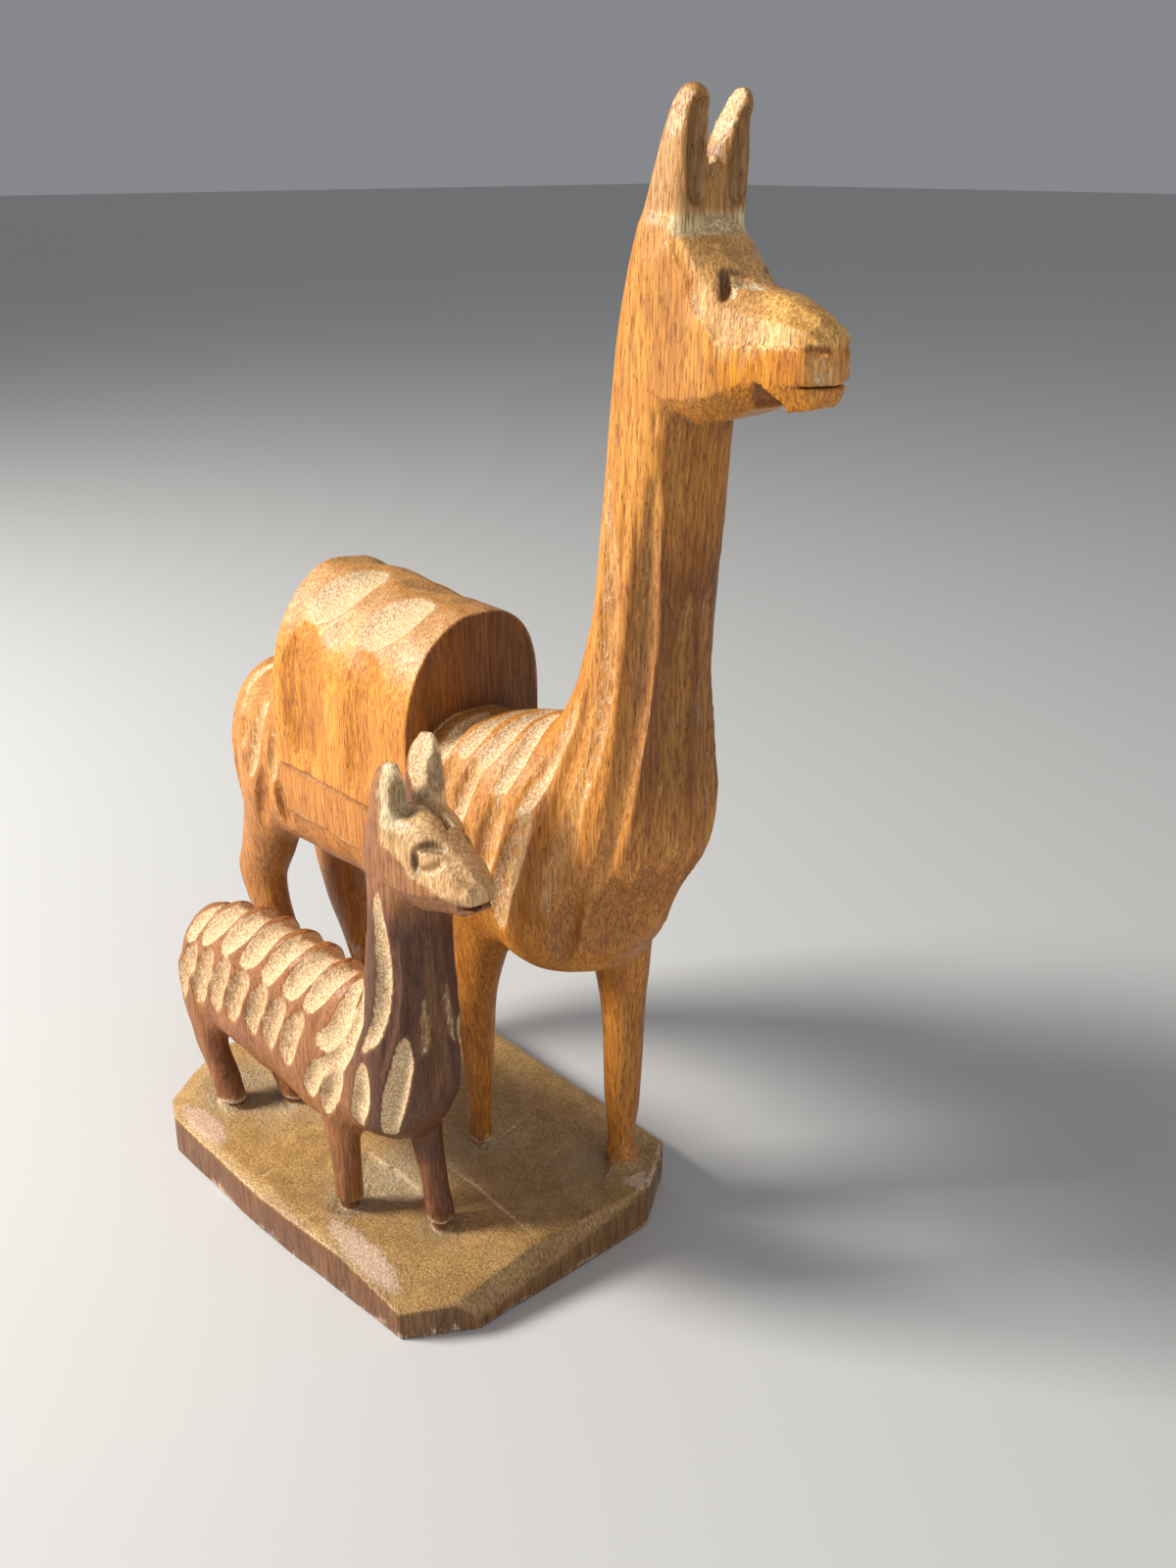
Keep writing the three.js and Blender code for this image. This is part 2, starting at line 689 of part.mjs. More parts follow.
function youngSolid() {
  const body = joined([
    loft(youngTorso),
    loft(youngNeck),
    legSolid(legs.youngFrontRight),
    legSolid(legs.youngFrontLeft),
    legSolid(legs.youngHindRight),
    legSolid(legs.youngHindLeft),
  ]);
  const bodyCuts = [
    ...youngBackCuts,
    ...youngFlankCuts,
    ...youngNeckCuts,
    ...mirrored([...youngBackCuts, ...youngFlankCuts, ...youngNeckCuts].filter((_, i) => i % 3 === 0)),
  ];
  const head = cutAway(headSolid(youngHead), [
    throughCut(youngMouth.slit, YOUNG_PLANE),
    ...chipSolids(youngChips, YOUNG_PLANE),
  ]);
  const ears = youngEarPlanes.map((plane, i) =>
    earSolid(youngEar, plane, youngEarLifts[i]).subtract(earHollow(youngEarHollow, plane, youngEarLifts[i])),
  );
  return joined([carved(body, bodyCuts), head, ...ears]);
}

function figurine() {
  const geometry = geometryOf(joined([baseSolid(), motherSolid(), loadSolid(), youngSolid()]));
  const wood = new THREE.MeshStandardMaterial({ color: 0xa85c22, roughness: 0.55, metalness: 0 });
  const mesh = new THREE.Mesh(geometry, wood);
  mesh.name = "llama_figurine";
  return mesh;
}

// The origin is on the base's underside, below the middle of the whole figure.
const group = new THREE.Group();
group.add(figurine());
const extent = new THREE.Box3().setFromObject(group);
group.position.set(-(extent.min.x + extent.max.x) / 2, -(extent.min.y + extent.max.y) / 2, -extent.min.z);

export default group;
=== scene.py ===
import math

import bpy
import numpy as np
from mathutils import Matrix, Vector


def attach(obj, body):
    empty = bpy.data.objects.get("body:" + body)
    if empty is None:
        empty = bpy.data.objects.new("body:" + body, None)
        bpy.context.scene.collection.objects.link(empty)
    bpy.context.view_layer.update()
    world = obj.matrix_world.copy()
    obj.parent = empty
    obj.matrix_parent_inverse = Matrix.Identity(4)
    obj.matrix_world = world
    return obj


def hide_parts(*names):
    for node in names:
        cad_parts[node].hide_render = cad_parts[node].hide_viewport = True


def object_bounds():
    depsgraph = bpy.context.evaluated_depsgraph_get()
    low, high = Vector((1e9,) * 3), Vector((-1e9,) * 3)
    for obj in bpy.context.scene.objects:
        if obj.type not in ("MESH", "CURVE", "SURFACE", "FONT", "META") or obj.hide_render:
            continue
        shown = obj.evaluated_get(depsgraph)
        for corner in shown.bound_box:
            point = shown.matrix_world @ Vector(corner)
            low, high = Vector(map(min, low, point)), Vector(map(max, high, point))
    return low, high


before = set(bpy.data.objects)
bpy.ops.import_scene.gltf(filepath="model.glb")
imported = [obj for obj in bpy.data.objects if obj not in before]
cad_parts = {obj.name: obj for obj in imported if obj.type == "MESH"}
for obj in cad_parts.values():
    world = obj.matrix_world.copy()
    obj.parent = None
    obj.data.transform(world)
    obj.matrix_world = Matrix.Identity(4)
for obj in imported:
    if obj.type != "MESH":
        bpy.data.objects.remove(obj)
cad_low, cad_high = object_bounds()

NODE = "llama_figurine"

# From the block's frame to the part's frame, in millimetres.
SHIFT = np.array([-10.21, 1.8, 0.0])
MM = 0.001

STEP = 0.5
FACES = 196000
LOW = np.array([-79.0, -43.5, -2.0])
HIGH = np.array([99.5, 40.0, 227.5])
COUNTS = np.ceil((HIGH - LOW) / STEP).astype(int) + 1
AXES = [(LOW[k] + STEP * np.arange(COUNTS[k])).astype(np.float32) for k in range(3)]
FAR = 50.0

distance = np.full(COUNTS, FAR, np.float32)
# What each cut leaves on the wood's colour: above nought, pale raw wood; below nought, painted shade.
paint = np.zeros(COUNTS, np.float16)

MOTHER_PLANE = 12
YOUNG_PLANE = -22.5


def window(low, high):
    """The grid's part between two corners: its slices, and its coordinates ready to be combined."""
    cuts = []
    for k in range(3):
        first = max(0, int((low[k] - LOW[k]) / STEP))
        last = min(COUNTS[k], int((high[k] - LOW[k]) / STEP) + 2)
        cuts.append(slice(first, last))
    x, y, z = (AXES[k][cuts[k]] for k in range(3))
    return tuple(cuts), x[:, None, None], y[None, :, None], z[None, None, :]


def blend_min(a, b, width):
    """The smaller of two distances, with the crease between them rounded over a width."""
    if width <= 0:
        return np.minimum(a, b)
    near = np.maximum(width - np.abs(a - b), 0) / width
    return np.minimum(a, b) - near * near * (width / 4)


def blend_max(a, b, width):
    return -blend_min(-a, -b, width)


def add_wood(cuts, form, width):
    distance[cuts] = blend_min(distance[cuts], form.astype(np.float32), width)


def row_values(rows, places, smooth=True):
    """Each value of a form's rows at places along it, through a smooth curve or straight lines."""
    table = np.array(sorted(rows), float)
    marks, values = table[:, 0], table[:, 1:]
    at = np.clip(places, marks[0], marks[-1])
    index = np.clip(np.searchsorted(marks, at, side="right") - 1, 0, len(marks) - 2)
    length = (marks[index + 1] - marks[index])[:, None]
    share = (at - marks[index])[:, None] / length
    before, after = values[index], values[index + 1]
    if not smooth:
        return (before + share * (after - before)).T
    slopes = np.gradient(values, marks, axis=0)
    in_slope, out_slope = slopes[index] * length, slopes[index + 1] * length
    square, cube = share**2, share**3
    return (
        before * (2 * cube - 3 * square + 1)
        + in_slope * (cube - 2 * square + share)
        + after * (3 * square - 2 * cube)
        + out_slope * (cube - square)
    ).T


def loft_distance(rows, axis, cap, x, y, z):
    """Distance from a form whose rings are ovals.

    Its rows hold a place along it, two centres, two half widths and squareness.
    """
    along, u, v = (x, y, z) if axis == "x" else (z, x, y)
    shape = along.shape
    centre_u, centre_v, half_u, half_v, power = (
        c.reshape(shape) for c in row_values(rows, along.ravel())
    )
    tiny = 1e-3
    side_u = np.abs(u - centre_u) / half_u + tiny
    side_v = np.abs(v - centre_v) / half_v + tiny
    total = side_u**power + side_v**power
    slope = np.sqrt((side_u ** (power - 1) / half_u) ** 2 + (side_v ** (power - 1) / half_v) ** 2)
    reach = total ** (1 / power)
    across = (reach - 1) * reach ** (power - 1) / slope
    first, last = min(r[0] for r in rows), max(r[0] for r in rows)
    ends = np.maximum(first - along, along - last)
    return blend_max(across, ends + 0 * across, cap)


def add_loft(rows, axis, join, cap=2.0):
    table = np.array(rows, float)
    margin = 3.0
    ends = [table[:, 0].min() - margin, table[:, 0].max() + margin]
    sides = []
    for k in range(2):
        centres, halves = table[:, 1 + k], table[:, 3 + k]
        sides.append([(centres - halves).min() - margin, (centres + halves).max() + margin])
    spans = [ends, *sides] if axis == "x" else [*sides, ends]
    cuts, x, y, z = window([s[0] for s in spans], [s[1] for s in spans])
    add_wood(cuts, loft_distance(rows, axis, cap, x, y, z), join)


mother_torso = [
    [-73.5, 11, 83, 7, 12, 2],
    [-71, 11, 84, 11.5, 17, 2.2],
    [-64, 11.5, 85, 15.5, 20, 2.4],
    [-54, 11.5, 85.5, 17, 21.5, 2.6],
    [-43, 11, 86.5, 16.4, 22, 2.8],
    [-38, 11, 86.6, 15.6, 22, 3],
    [6, 11.3, 88, 15.8, 23, 2.7],
    [14, 11.6, 89, 16.6, 23.4, 2.4],
    [26, 12, 91, 16.5, 25, 2.3],
    [42, 12.5, 92, 15.5, 25, 2.2],
    [54, 12.5, 94, 12, 16, 2],
]
mother_neck = [
    [67, 33, 12.5, 8, 7, 2],
    [69, 36, 12.5, 13, 11, 2],
    [74, 38.4, 12.5, 16.4, 14, 2],
    [81, 41.4, 12.5, 18.4, 15, 2],
    [88, 44.5, 12.5, 19.5, 15.5, 2],
    [95, 47.5, 12.5, 20.2, 15.5, 2],
    [102, 50.3, 12.5, 20, 15.3, 2],
    [109, 52.4, 12.5, 18.8, 14.8, 2],
    [117, 54.2, 12.5, 16.6, 13.2, 2],
    [127, 56.6, 12.5, 13.5, 11.5, 2],
    [138, 58.4, 12.5, 11.3, 10.3, 2.1],
    [150, 60, 12.5, 10.2, 9.7, 2.2],
    [165, 61.6, 12.4, 9.5, 9.2, 2.4],
    [180, 63.2, 12.2, 9.2, 9, 2.6],
    [190, 64.9, 12, 9.2, 8.8, 2.8],
    [199, 66, 12, 8.4, 8.6, 2.8],
    [207.4, 66.6, 12, 5.6, 8.2, 2.8],
]
mother_tail = [
    [103, -66, 11.5, 3, 3.4, 2],
    [96, -71, 11.5, 3.4, 3.8, 2],
    [86, -73.6, 11.5, 3, 3.4, 2],
    [78, -74, 11.5, 1.4, 1.8, 2],
]
mother_head = [
    [64, 179, 200, 206, 8.4, 7.4],
    [70, 177.5, 203.5, 207.4, 8.5, 7.4],
    [73, 177.6, 199.5, 205.6, 8.5, 6.8],
    [75.5, 178, 195.6, 202.8, 8.4, 6],
    [80, 179.2, 190.2, 199.2, 7.9, 4.8],
    [84, 181, 190, 197.4, 7.1, 4.2],
    [89, 180.8, 190.3, 196.4, 6.2, 3.7],
    [94, 181.6, 190.3, 194.4, 4.9, 3],
    [96.8, 184, 188.6, 191.7, 3.6, 2.1],
]
mother_ear = [
    [198, 66.4, 0, 5.8, 3.1, 2.8],
    [207, 67.4, 0, 5, 2.9, 2.8],
    [214, 68.9, 0, 3.9, 2.8, 2.8],
    [220, 70.2, 0, 2.9, 2.5, 2.6],
    [224, 71.2, 0, 2, 1.9, 2.2],
    [225, 71.2, 0, 1.3, 1.2, 2],
]
mother_ear_planes = [7, 16.4]
mother_ear_web = [
    [205, 66.4, 11.5, 4.6, 4.2, 4],
    [213, 67.5, 11.5, 3.1, 4.2, 4],
    [215.6, 68, 11.5, 2.2, 4, 3],
]

young_torso = [
    [-55, YOUNG_PLANE, 39, 4, 7, 2],
    [-52, YOUNG_PLANE, 40, 7.5, 13, 2],
    [-44, YOUNG_PLANE, 42, 9, 16, 2.2],
    [-30, YOUNG_PLANE, 44.5, 9.5, 18, 2.2],
    [-10, YOUNG_PLANE, 45, 9.5, 19.6, 2.2],
    [8, YOUNG_PLANE, 46, 9.5, 19.5, 2.2],
    [22, YOUNG_PLANE, 49, 9.2, 17, 2.1],
    [31, YOUNG_PLANE, 50, 8, 14.5, 2],
    [37, YOUNG_PLANE, 51, 5, 9.5, 2],
]
young_neck = [
    [36, 21, YOUNG_PLANE, 6, 5, 2],
    [39, 23, YOUNG_PLANE, 10, 8, 2],
    [45, 26, YOUNG_PLANE, 12.5, 9, 2],
    [53, 28.5, YOUNG_PLANE, 12.2, 9.2, 2],
    [62, 30, YOUNG_PLANE, 10.8, 9, 2],
    [72, 30.8, YOUNG_PLANE, 9.3, 8.4, 2.1],
    [84, 31.2, YOUNG_PLANE, 8.2, 7.7, 2.2],
    [94, 32, YOUNG_PLANE, 7.8, 7.2, 2.6],
    [102, 32.6, YOUNG_PLANE, 7.2, 7, 3],
    [107.6, 33.4, YOUNG_PLANE, 6, 6.4, 3],
]
young_head = [
    [27, 91.5, 104.4, 107, 6.8, 5.6],
    [34, 91.8, 104.2, 109.4, 7, 5.4],
    [38.7, 92.2, 102.4, 110, 6.8, 4.9],
    [42, 92.5, 99.6, 109.3, 6.5, 4.4],
    [47, 93.5, 98.6, 106.5, 5.5, 3.4],
    [52, 94.5, 98.6, 103.5, 4.4, 2.6],
    [55, 96, 98.5, 101, 3.2, 2],
]
young_ear = [
    [99, 32, 0, 5, 3, 2.4],
    [107, 32.4, 0, 4.8, 2.9, 2.4],
    [113, 32.8, 0, 4.3, 2.5, 2.4],
    [118.4, 33.6, 0, 3.1, 1.8, 2.2],
    [121, 34.2, 0, 1.6, 1, 2],
]
young_ears = [(YOUNG_PLANE - 4, -2.5), (YOUNG_PLANE + 4, 1)]

mother_legs = [
    [
        [84, 18, 5, 12, 6, 2],
        [73, 18, 4.6, 11, 5.8, 2],
        [64, 16.5, 4.8, 8, 5.2, 2],
        [54, 14.8, 5.2, 5.8, 4.4, 2],
        [42, 13.8, 5.8, 4.2, 3.7, 2.2],
        [28, 13.4, 6, 3.1, 3, 2.4],
        [16, 13.2, 6.2, 2.6, 2.6, 2.4],
        [6, 13.4, 6.2, 3.2, 3, 2.4],
    ],
    [
        [86, 40, 19, 10, 6.6, 2],
        [74, 40.5, 21.5, 9, 6.2, 2],
        [64, 40.2, 23.4, 7, 5.2, 2],
        [54, 40, 24.4, 5.4, 4.6, 2],
        [40, 39.6, 24.9, 4.2, 3.8, 2.2],
        [26, 39.4, 25, 3.6, 3.4, 2.4],
        [15, 39.6, 25, 3.4, 3.2, 2.4],
        [10, 41, 24.4, 5, 4.2, 2.2],
        [6, 41.6, 24, 7, 5.6, 2.2],
    ],
    [
        [86, -58, 3, 11, 7, 2],
        [70, -60, 2.5, 10, 6.6, 2],
        [58, -65, 2.2, 8.8, 5.6, 2],
        [50, -68.6, 2, 8.2, 5, 2],
        [43, -67, 2, 6.8, 4.5, 2],
        [36, -63.4, 2, 5.4, 4.1, 2.1],
        [26, -58.4, 2, 4.4, 3.7, 2.2],
        [16, -53, 2, 4.1, 3.5, 2.3],
        [6, -48, 2, 4.8, 3.9, 2.3],
    ],
    [
        [84, -54, 20, 12, 6.6, 2],
        [66, -58, 20.5, 10, 6, 2],
        [52, -63, 21, 8.4, 5.2, 2],
        [42, -61, 21, 7, 4.6, 2],
        [32, -56.5, 21, 5.2, 4, 2.2],
        [20, -50.5, 21, 4.6, 3.8, 2.3],
        [6, -44, 21, 5.2, 4.2, 2.3],
    ],
]
young_legs = [
    [
        [42, 10, -27.5, 6, 4, 2],
        [32, 11, -28, 4.6, 3.4, 2],
        [23, 11.8, -28, 3.4, 2.9, 2.2],
        [6, 11.8, -28, 3.1, 2.9, 2.2],
    ],
    [
        [44, 25.5, -18.5, 5.6, 4, 2],
        [32, 26.5, -17.8, 4.2, 3.4, 2],
        [22, 28, -17.5, 3.2, 2.7, 2.2],
        [6, 31.4, -17.5, 2.9, 2.7, 2.2],
    ],
    [
        [44, -46, -27.5, 8.4, 4.4, 2],
        [32, -46.5, -28, 7, 4, 2],
        [24, -44, -28.4, 4.8, 3.4, 2.1],
        [15, -39, -28.4, 3.6, 3, 2.2],
        [6, -35, -28.4, 4, 3.2, 2.2],
    ],
    [
        [44, -44, -17.5, 9, 4.4, 2],
        [32, -42, -17, 7.4, 4, 2],
        [24, -38, -16.6, 5, 3.4, 2.1],
        [15, -31, -16.6, 3.6, 3, 2.2],
        [6, -26, -16.6, 4, 3.2, 2.2],
    ],
]

pack = {
    "ends": (-42, 8),
    "centre_y": (11.6, 12),
    "half_width": (17.6, 17.4),
    "ridge": (133.6, 131.2),
    "foot": 89.5,
    "shoulder": 107,
    "near_squareness": 1.95,
    "far_squareness": 3.2,
}
pack_axis = [[pack["ends"][k], 12, pack["shoulder"], 1, 1, 2] for k in range(2)]
blanket = {"ends": (-42.6, 8.6), "centre_y": 11.2, "half_width": 16.5, "heights": (77.6, 95)}

base_height = 10.4
base_outline = [
    [-50, -37.6],
    [-42, -41.2],
    [-5, -41],
    [42, -37],
    [50.4, -23.5],
    [50.4, 22.8],
    [40.4, 37.2],
    [-30, 37.6],
    [-50, 33],
    [-60, 20],
    [-63, 0],
    [-61.2, -18.6],
    [-56.8, -29.2],
]
# Three points on each flat that the knife left across the base's top edges.
base_facets = [
    [[20, -39, 10.4], [47.6, -5, 10.4], [44.5, -33, 6.6]],
    [[47.6, -5, 10.4], [50.4, -6, 7.3], [50.4, -22, 4.6]],
    [[47.4, -6, 10.4], [49.2, 17, 10.4], [50.4, 8, 7]],
    [[-42, -39.4, 10.4], [36, -36.4, 10.4], [0, -40.6, 9.2]],
    [[-46, -34, 10.4], [-57, -20, 10.4], [-56.8, -30, 8.2]],
    [[-59, -14, 10.4], [-57, 16, 10.4], [-62.5, 2, 8.8]],
    [[-34, 34.6, 10.4], [24, 35.4, 10.4], [0, 37.6, 9.2]],
]
foot_ridge = {"crest": [[38, 25, 15], [49, 21.6, 10.6]], "sides": [[44, 14.5, 9], [44, 33, 9]]}


def plane_through(points, outward):
    """A flat's unit normal and its offset, with the normal on the side of a given direction."""
    a, b, c = (np.array(p, float) for p in points)
    normal = np.cross(b - a, c - a)
    normal /= np.linalg.norm(normal)
    if normal @ np.array(outward, float) < 0:
        normal = -normal
    return normal, normal @ a


def planes_distance(planes, x, y, z):
    """Distance from the convex solid behind all of these flats."""
    total = None
    for normal, offset in planes:
        side = x * normal[0] + y * normal[1] + z * normal[2] - offset
        total = side if total is None else np.maximum(total, side)
    return total


def hull_planes(faces, inside):
    """The flats of a small convex solid, from three corners of each face and a point inside."""
    planes = []
    for face in faces:
        outward = np.mean(face, axis=0) - inside
        planes.append(plane_through(face, outward))
    return planes


def add_head(rows, plane, join):
    """A head cut in flats: an upright band for the jaw, then cheeks that slope in to the top."""
    under_inset, under_rise, top_inset, top_drop, swell = 0.6, 4, 0.5, 1.6, 0.35
    step = 0.4
    table = np.array(rows, float)
    widest = table[:, 4].max() + 3
    low = [table[0, 0] - 2, plane - widest, table[:, 1].min() - 3]
    high = [table[-1, 0] + 3, plane + widest, table[:, 3].max() + 3]
    cuts, x, y, z = window(low, high)
    bottom, band, top, wide, narrow = row_values(rows, x.ravel(), smooth=False)
    side = np.abs(y - plane)
    outline = [
        (0 * wide, bottom),
        (wide * under_inset, bottom),
        (wide, bottom + under_rise),
        (wide, band),
        (wide - step, band + step / 2),
        ((wide + narrow) / 2 + swell / 2, (band + top) / 2 + swell),
        (narrow, top - top_drop),
        (narrow * top_inset, top),
        (0 * wide, top),
    ]
    shape = np.broadcast_shapes(x.shape, y.shape, z.shape)
    nearest = np.full(shape, FAR, np.float32)
    inside = np.zeros(shape, bool)
    for (s0, z0), (s1, z1) in zip(outline[:-1], outline[1:]):
        s0, z0, s1, z1 = (value[:, None, None] for value in (s0, z0, s1, z1))
        ds, dz = s1 - s0, z1 - z0
        share = np.clip(((side - s0) * ds + (z - z0) * dz) / (ds**2 + dz**2 + 1e-9), 0, 1)
        gap = np.hypot(side - s0 - share * ds, z - z0 - share * dz)
        nearest = np.minimum(nearest, gap)
        between = (z >= z0) & (z < z1)
        width_here = s0 + ds * (z - z0) / np.where(np.abs(dz) < 1e-6, 1, dz)
        inside |= between & (side < width_here)
    form = np.where(inside, -nearest, nearest)
    slopes = np.gradient(form, STEP)
    form /= np.clip(np.sqrt(sum(s * s for s in slopes)), 0.7, 2)
    ends = np.maximum(table[0, 0] - x, x - table[-1, 0])
    add_wood(cuts, blend_max(form, ends + 0 * form, 0.8), join)


def add_pack():
    low_x, high_x = pack["ends"]
    cuts, x, y, z = window([low_x - 4, -12, 84], [high_x + 4, 36, 138])
    share = (x - low_x) / (high_x - low_x)
    centre, half, ridge = (
        pack[key][0] + share * (pack[key][1] - pack[key][0]) for key in ("centre_y", "half_width", "ridge")
    )
    power = np.where(y > centre, pack["far_squareness"], pack["near_squareness"])
    tall = ridge - pack["shoulder"]
    tiny = 1e-3
    side_u = np.abs(y - centre) / half + tiny
    side_v = np.maximum(z - pack["shoulder"], 0) / tall + tiny
    reach = (side_u**power + side_v**power) ** (1 / power)
    slope = np.sqrt((side_u ** (power - 1) / half) ** 2 + (side_v ** (power - 1) / tall) ** 2)
    across = (reach - 1) * reach ** (power - 1) / slope
    ends = np.maximum(np.maximum(low_x - x, x - high_x), pack["foot"] - z)
    add_wood(cuts, blend_max(across, ends + 0 * across, 0.7), 0.3)


def add_blanket():
    low_x, high_x = blanket["ends"]
    bottom, top = blanket["heights"]
    cuts, x, y, z = window([low_x - 4, -12, bottom - 4], [high_x + 4, 36, top + 4])
    across = np.abs(y - blanket["centre_y"]) - blanket["half_width"]
    ends = np.maximum(np.maximum(low_x - x, x - high_x), np.maximum(bottom - z, z - top))
    add_wood(cuts, blend_max(across + 0 * ends, ends + 0 * across, 0.6), 0.3)


def add_base():
    corners = np.array(base_outline, float)
    cuts, x, y, z = window([*(corners.min(0) - 3), -2], [*(corners.max(0) + 3), base_height + 9])
    nearest = np.full((x.shape[0], y.shape[1], 1), FAR, np.float32)
    inside = np.zeros(nearest.shape, bool)
    for a, b in zip(corners, np.roll(corners, -1, axis=0)):
        run = b - a
        share = np.clip(((x - a[0]) * run[0] + (y - a[1]) * run[1]) / (run @ run), 0, 1)
        nearest = np.minimum(nearest, np.hypot(x - a[0] - share * run[0], y - a[1] - share * run[1]))
        if abs(run[1]) > 1e-9:
            crosses = (y >= min(a[1], b[1])) & (y < max(a[1], b[1]))
            inside ^= crosses & (x < a[0] + (y - a[1]) * run[0] / run[1])
    outline = np.where(inside, -nearest, nearest)
    slab = blend_max(outline + 0 * z, np.maximum(z - base_height, -z) + 0 * outline, 0.2)
    for facet in base_facets:
        slab = blend_max(slab, planes_distance([plane_through(facet, (0, 0, 1))], x, y, z), 0.15)
    top, toe = foot_ridge["crest"]
    right, left = foot_ridge["sides"]
    under = [top[0], top[1], right[2]]
    faces = [(top, toe, right), (top, toe, left), (top, right, under), (top, left, under), (toe, right, left)]
    ridge = planes_distance(hull_planes(faces, np.mean([top, toe, right, left], axis=0)), x, y, z)
    add_wood(cuts, blend_min(slab, ridge, 1.5), 1.0)


add_loft(mother_torso, "x", 0, cap=5)
add_loft(mother_neck, "z", 5)
add_loft(mother_tail, "z", 3)
for leg in mother_legs:
    add_loft(leg, "z", 4)
add_head(mother_head, MOTHER_PLANE, 0.6)
for plane in mother_ear_planes:
    add_loft([[z, x_, plane, *rest] for z, x_, _, *rest in mother_ear], "z", 0.8, cap=1)
add_loft(mother_ear_web, "z", 0.5, cap=1)
add_blanket()
add_pack()
add_loft(young_torso, "x", 0, cap=4)
add_loft(young_neck, "z", 4)
for leg in young_legs:
    add_loft(leg, "z", 3)
add_head(young_head, YOUNG_PLANE, 0.6)
for plane, lift in young_ears:
    add_loft([[z + lift, x_, plane, *rest] for z, x_, _, *rest in young_ear], "z", 0.8, cap=1)
add_base()

# A hand-carved surface is never quite even: slow swells and knife flats, drawn out along the grain.
random = np.random.default_rng(7)


def curve_weights(count, spacing, axis):
    """Weights that turn a coarse row of heights into a smooth curve along one axis of the grid."""
    places = (AXES[axis] - LOW[axis]) / spacing
    cell = np.floor(places).astype(int)
    t = places - cell
    weights = np.zeros((len(places), count), np.float32)
    rows = np.arange(len(places))
    weights[rows, cell] = (1 - t) ** 3 / 6
    weights[rows, cell + 1] = (3 * t**3 - 6 * t**2 + 4) / 6
    weights[rows, cell + 2] = (-3 * t**3 + 3 * t**2 + 3 * t + 1) / 6
    weights[rows, cell + 3] = t**3 / 6
    return weights


def unevenness(spacing, height):
    """Smooth random heights over the whole grid, from a coarse lattice with this spacing."""
    sizes = [int((HIGH[k] - LOW[k]) / spacing[k]) + 6 for k in range(3)]
    heights = random.standard_normal(sizes).astype(np.float32) * height
    for axis in range(3):
        weights = curve_weights(sizes[axis], spacing[axis], axis)
        heights = np.moveaxis(np.tensordot(weights, heights, axes=(1, axis)), 0, axis)
    return heights


base_calm = 0.35
calm = (base_calm + (1 - base_calm) * np.clip((AXES[2] - base_height) / 6, 0, 1)).astype(np.float32)
distance += unevenness((8, 8, 18), 0.6) * calm
distance += unevenness((3.2, 3.2, 8), 0.26) * calm
wood = distance.copy()


def sampled(grid, points):
    """A grid's values at points given in millimetres."""
    place = (points - LOW) / STEP
    corner = np.clip(np.floor(place).astype(int), 0, COUNTS - 2)
    share = place - corner
    total = 0
    for dx in (0, 1):
        for dy in (0, 1):
            for dz in (0, 1):
                weight = (
                    (share[..., 0] if dx else 1 - share[..., 0])
                    * (share[..., 1] if dy else 1 - share[..., 1])
                    * (share[..., 2] if dz else 1 - share[..., 2])
                )
                total = total + weight * grid[corner[..., 0] + dx, corner[..., 1] + dy, corner[..., 2] + dz]
    return total


def slopes_at(grid, points, reach=STEP):
    """Unit directions out of the wood at points."""
    offsets = np.eye(3) * reach
    slope = np.stack([sampled(grid, points + o) - sampled(grid, points - o) for o in offsets], axis=-1)
    return slope / np.maximum(np.linalg.norm(slope, axis=-1, keepdims=True), 1e-9)


def smooth_path(stops, per_span=24):
    """A curve through every stop."""
    stops = np.array(stops, float)
    count = len(stops)
    padded = np.vstack([2 * stops[0] - stops[1], stops, 2 * stops[-1] - stops[-2]])
    fine = np.linspace(0, count - 1, per_span * (count - 1) + 1)
    cell = np.minimum(fine.astype(int), count - 2)
    t = (fine - cell)[:, None]
    p0, p1, p2, p3 = (padded[cell + k] for k in range(4))
    return 0.5 * (
        2 * p1 + (p2 - p0) * t + (2 * p0 - 5 * p1 + 4 * p2 - p3) * t**2 + (3 * p1 - p0 - 3 * p2 + p3) * t**3
    )


def even_steps(points, step=0.7):
    lengths = np.concatenate([[0], np.cumsum(np.linalg.norm(np.diff(points, axis=0), axis=1))])
    even = np.linspace(0, lengths[-1], max(6, int(lengths[-1] / step)) + 1)
    return np.stack([np.interp(even, lengths, points[:, k]) for k in range(3)], axis=1)


def surface_path(rows, axis, path):
    """Where a cut's path lies on the wood: a path is places along a form and the angle round it."""
    curve = smooth_path(path)
    centre_u, centre_v = row_values(rows, curve[:, 0])[:2]
    turn = np.radians(curve[:, 1])
    if axis == "x":
        centres = np.stack([curve[:, 0], centre_u, centre_v], axis=1)
        outward = np.stack([0 * turn, np.cos(turn), np.sin(turn)], axis=1)
    else:
        centres = np.stack([centre_u, centre_v, curve[:, 0]], axis=1)
        outward = np.stack([np.cos(turn), np.sin(turn), 0 * turn], axis=1)
    reach = np.arange(0, 45, 0.2)
    rays = centres[:, None, :] + reach[None, :, None] * outward[:, None, :]
    values = sampled(wood, rays)
    out = np.maximum(np.argmax(values > 0, axis=1), 1)
    ray = np.arange(len(out))
    inner, outer = values[ray, out - 1], values[ray, out]
    exact = reach[out - 1] + 0.2 * (-inner) / np.maximum(outer - inner, 1e-6)
    return even_steps(centres + exact[:, None] * outward)


def take_away(cuts, cut, colour):
    here = distance[cuts]
    deeper = cut > here
    paint[cuts][deeper] = colour
    np.maximum(here, cut, out=here)


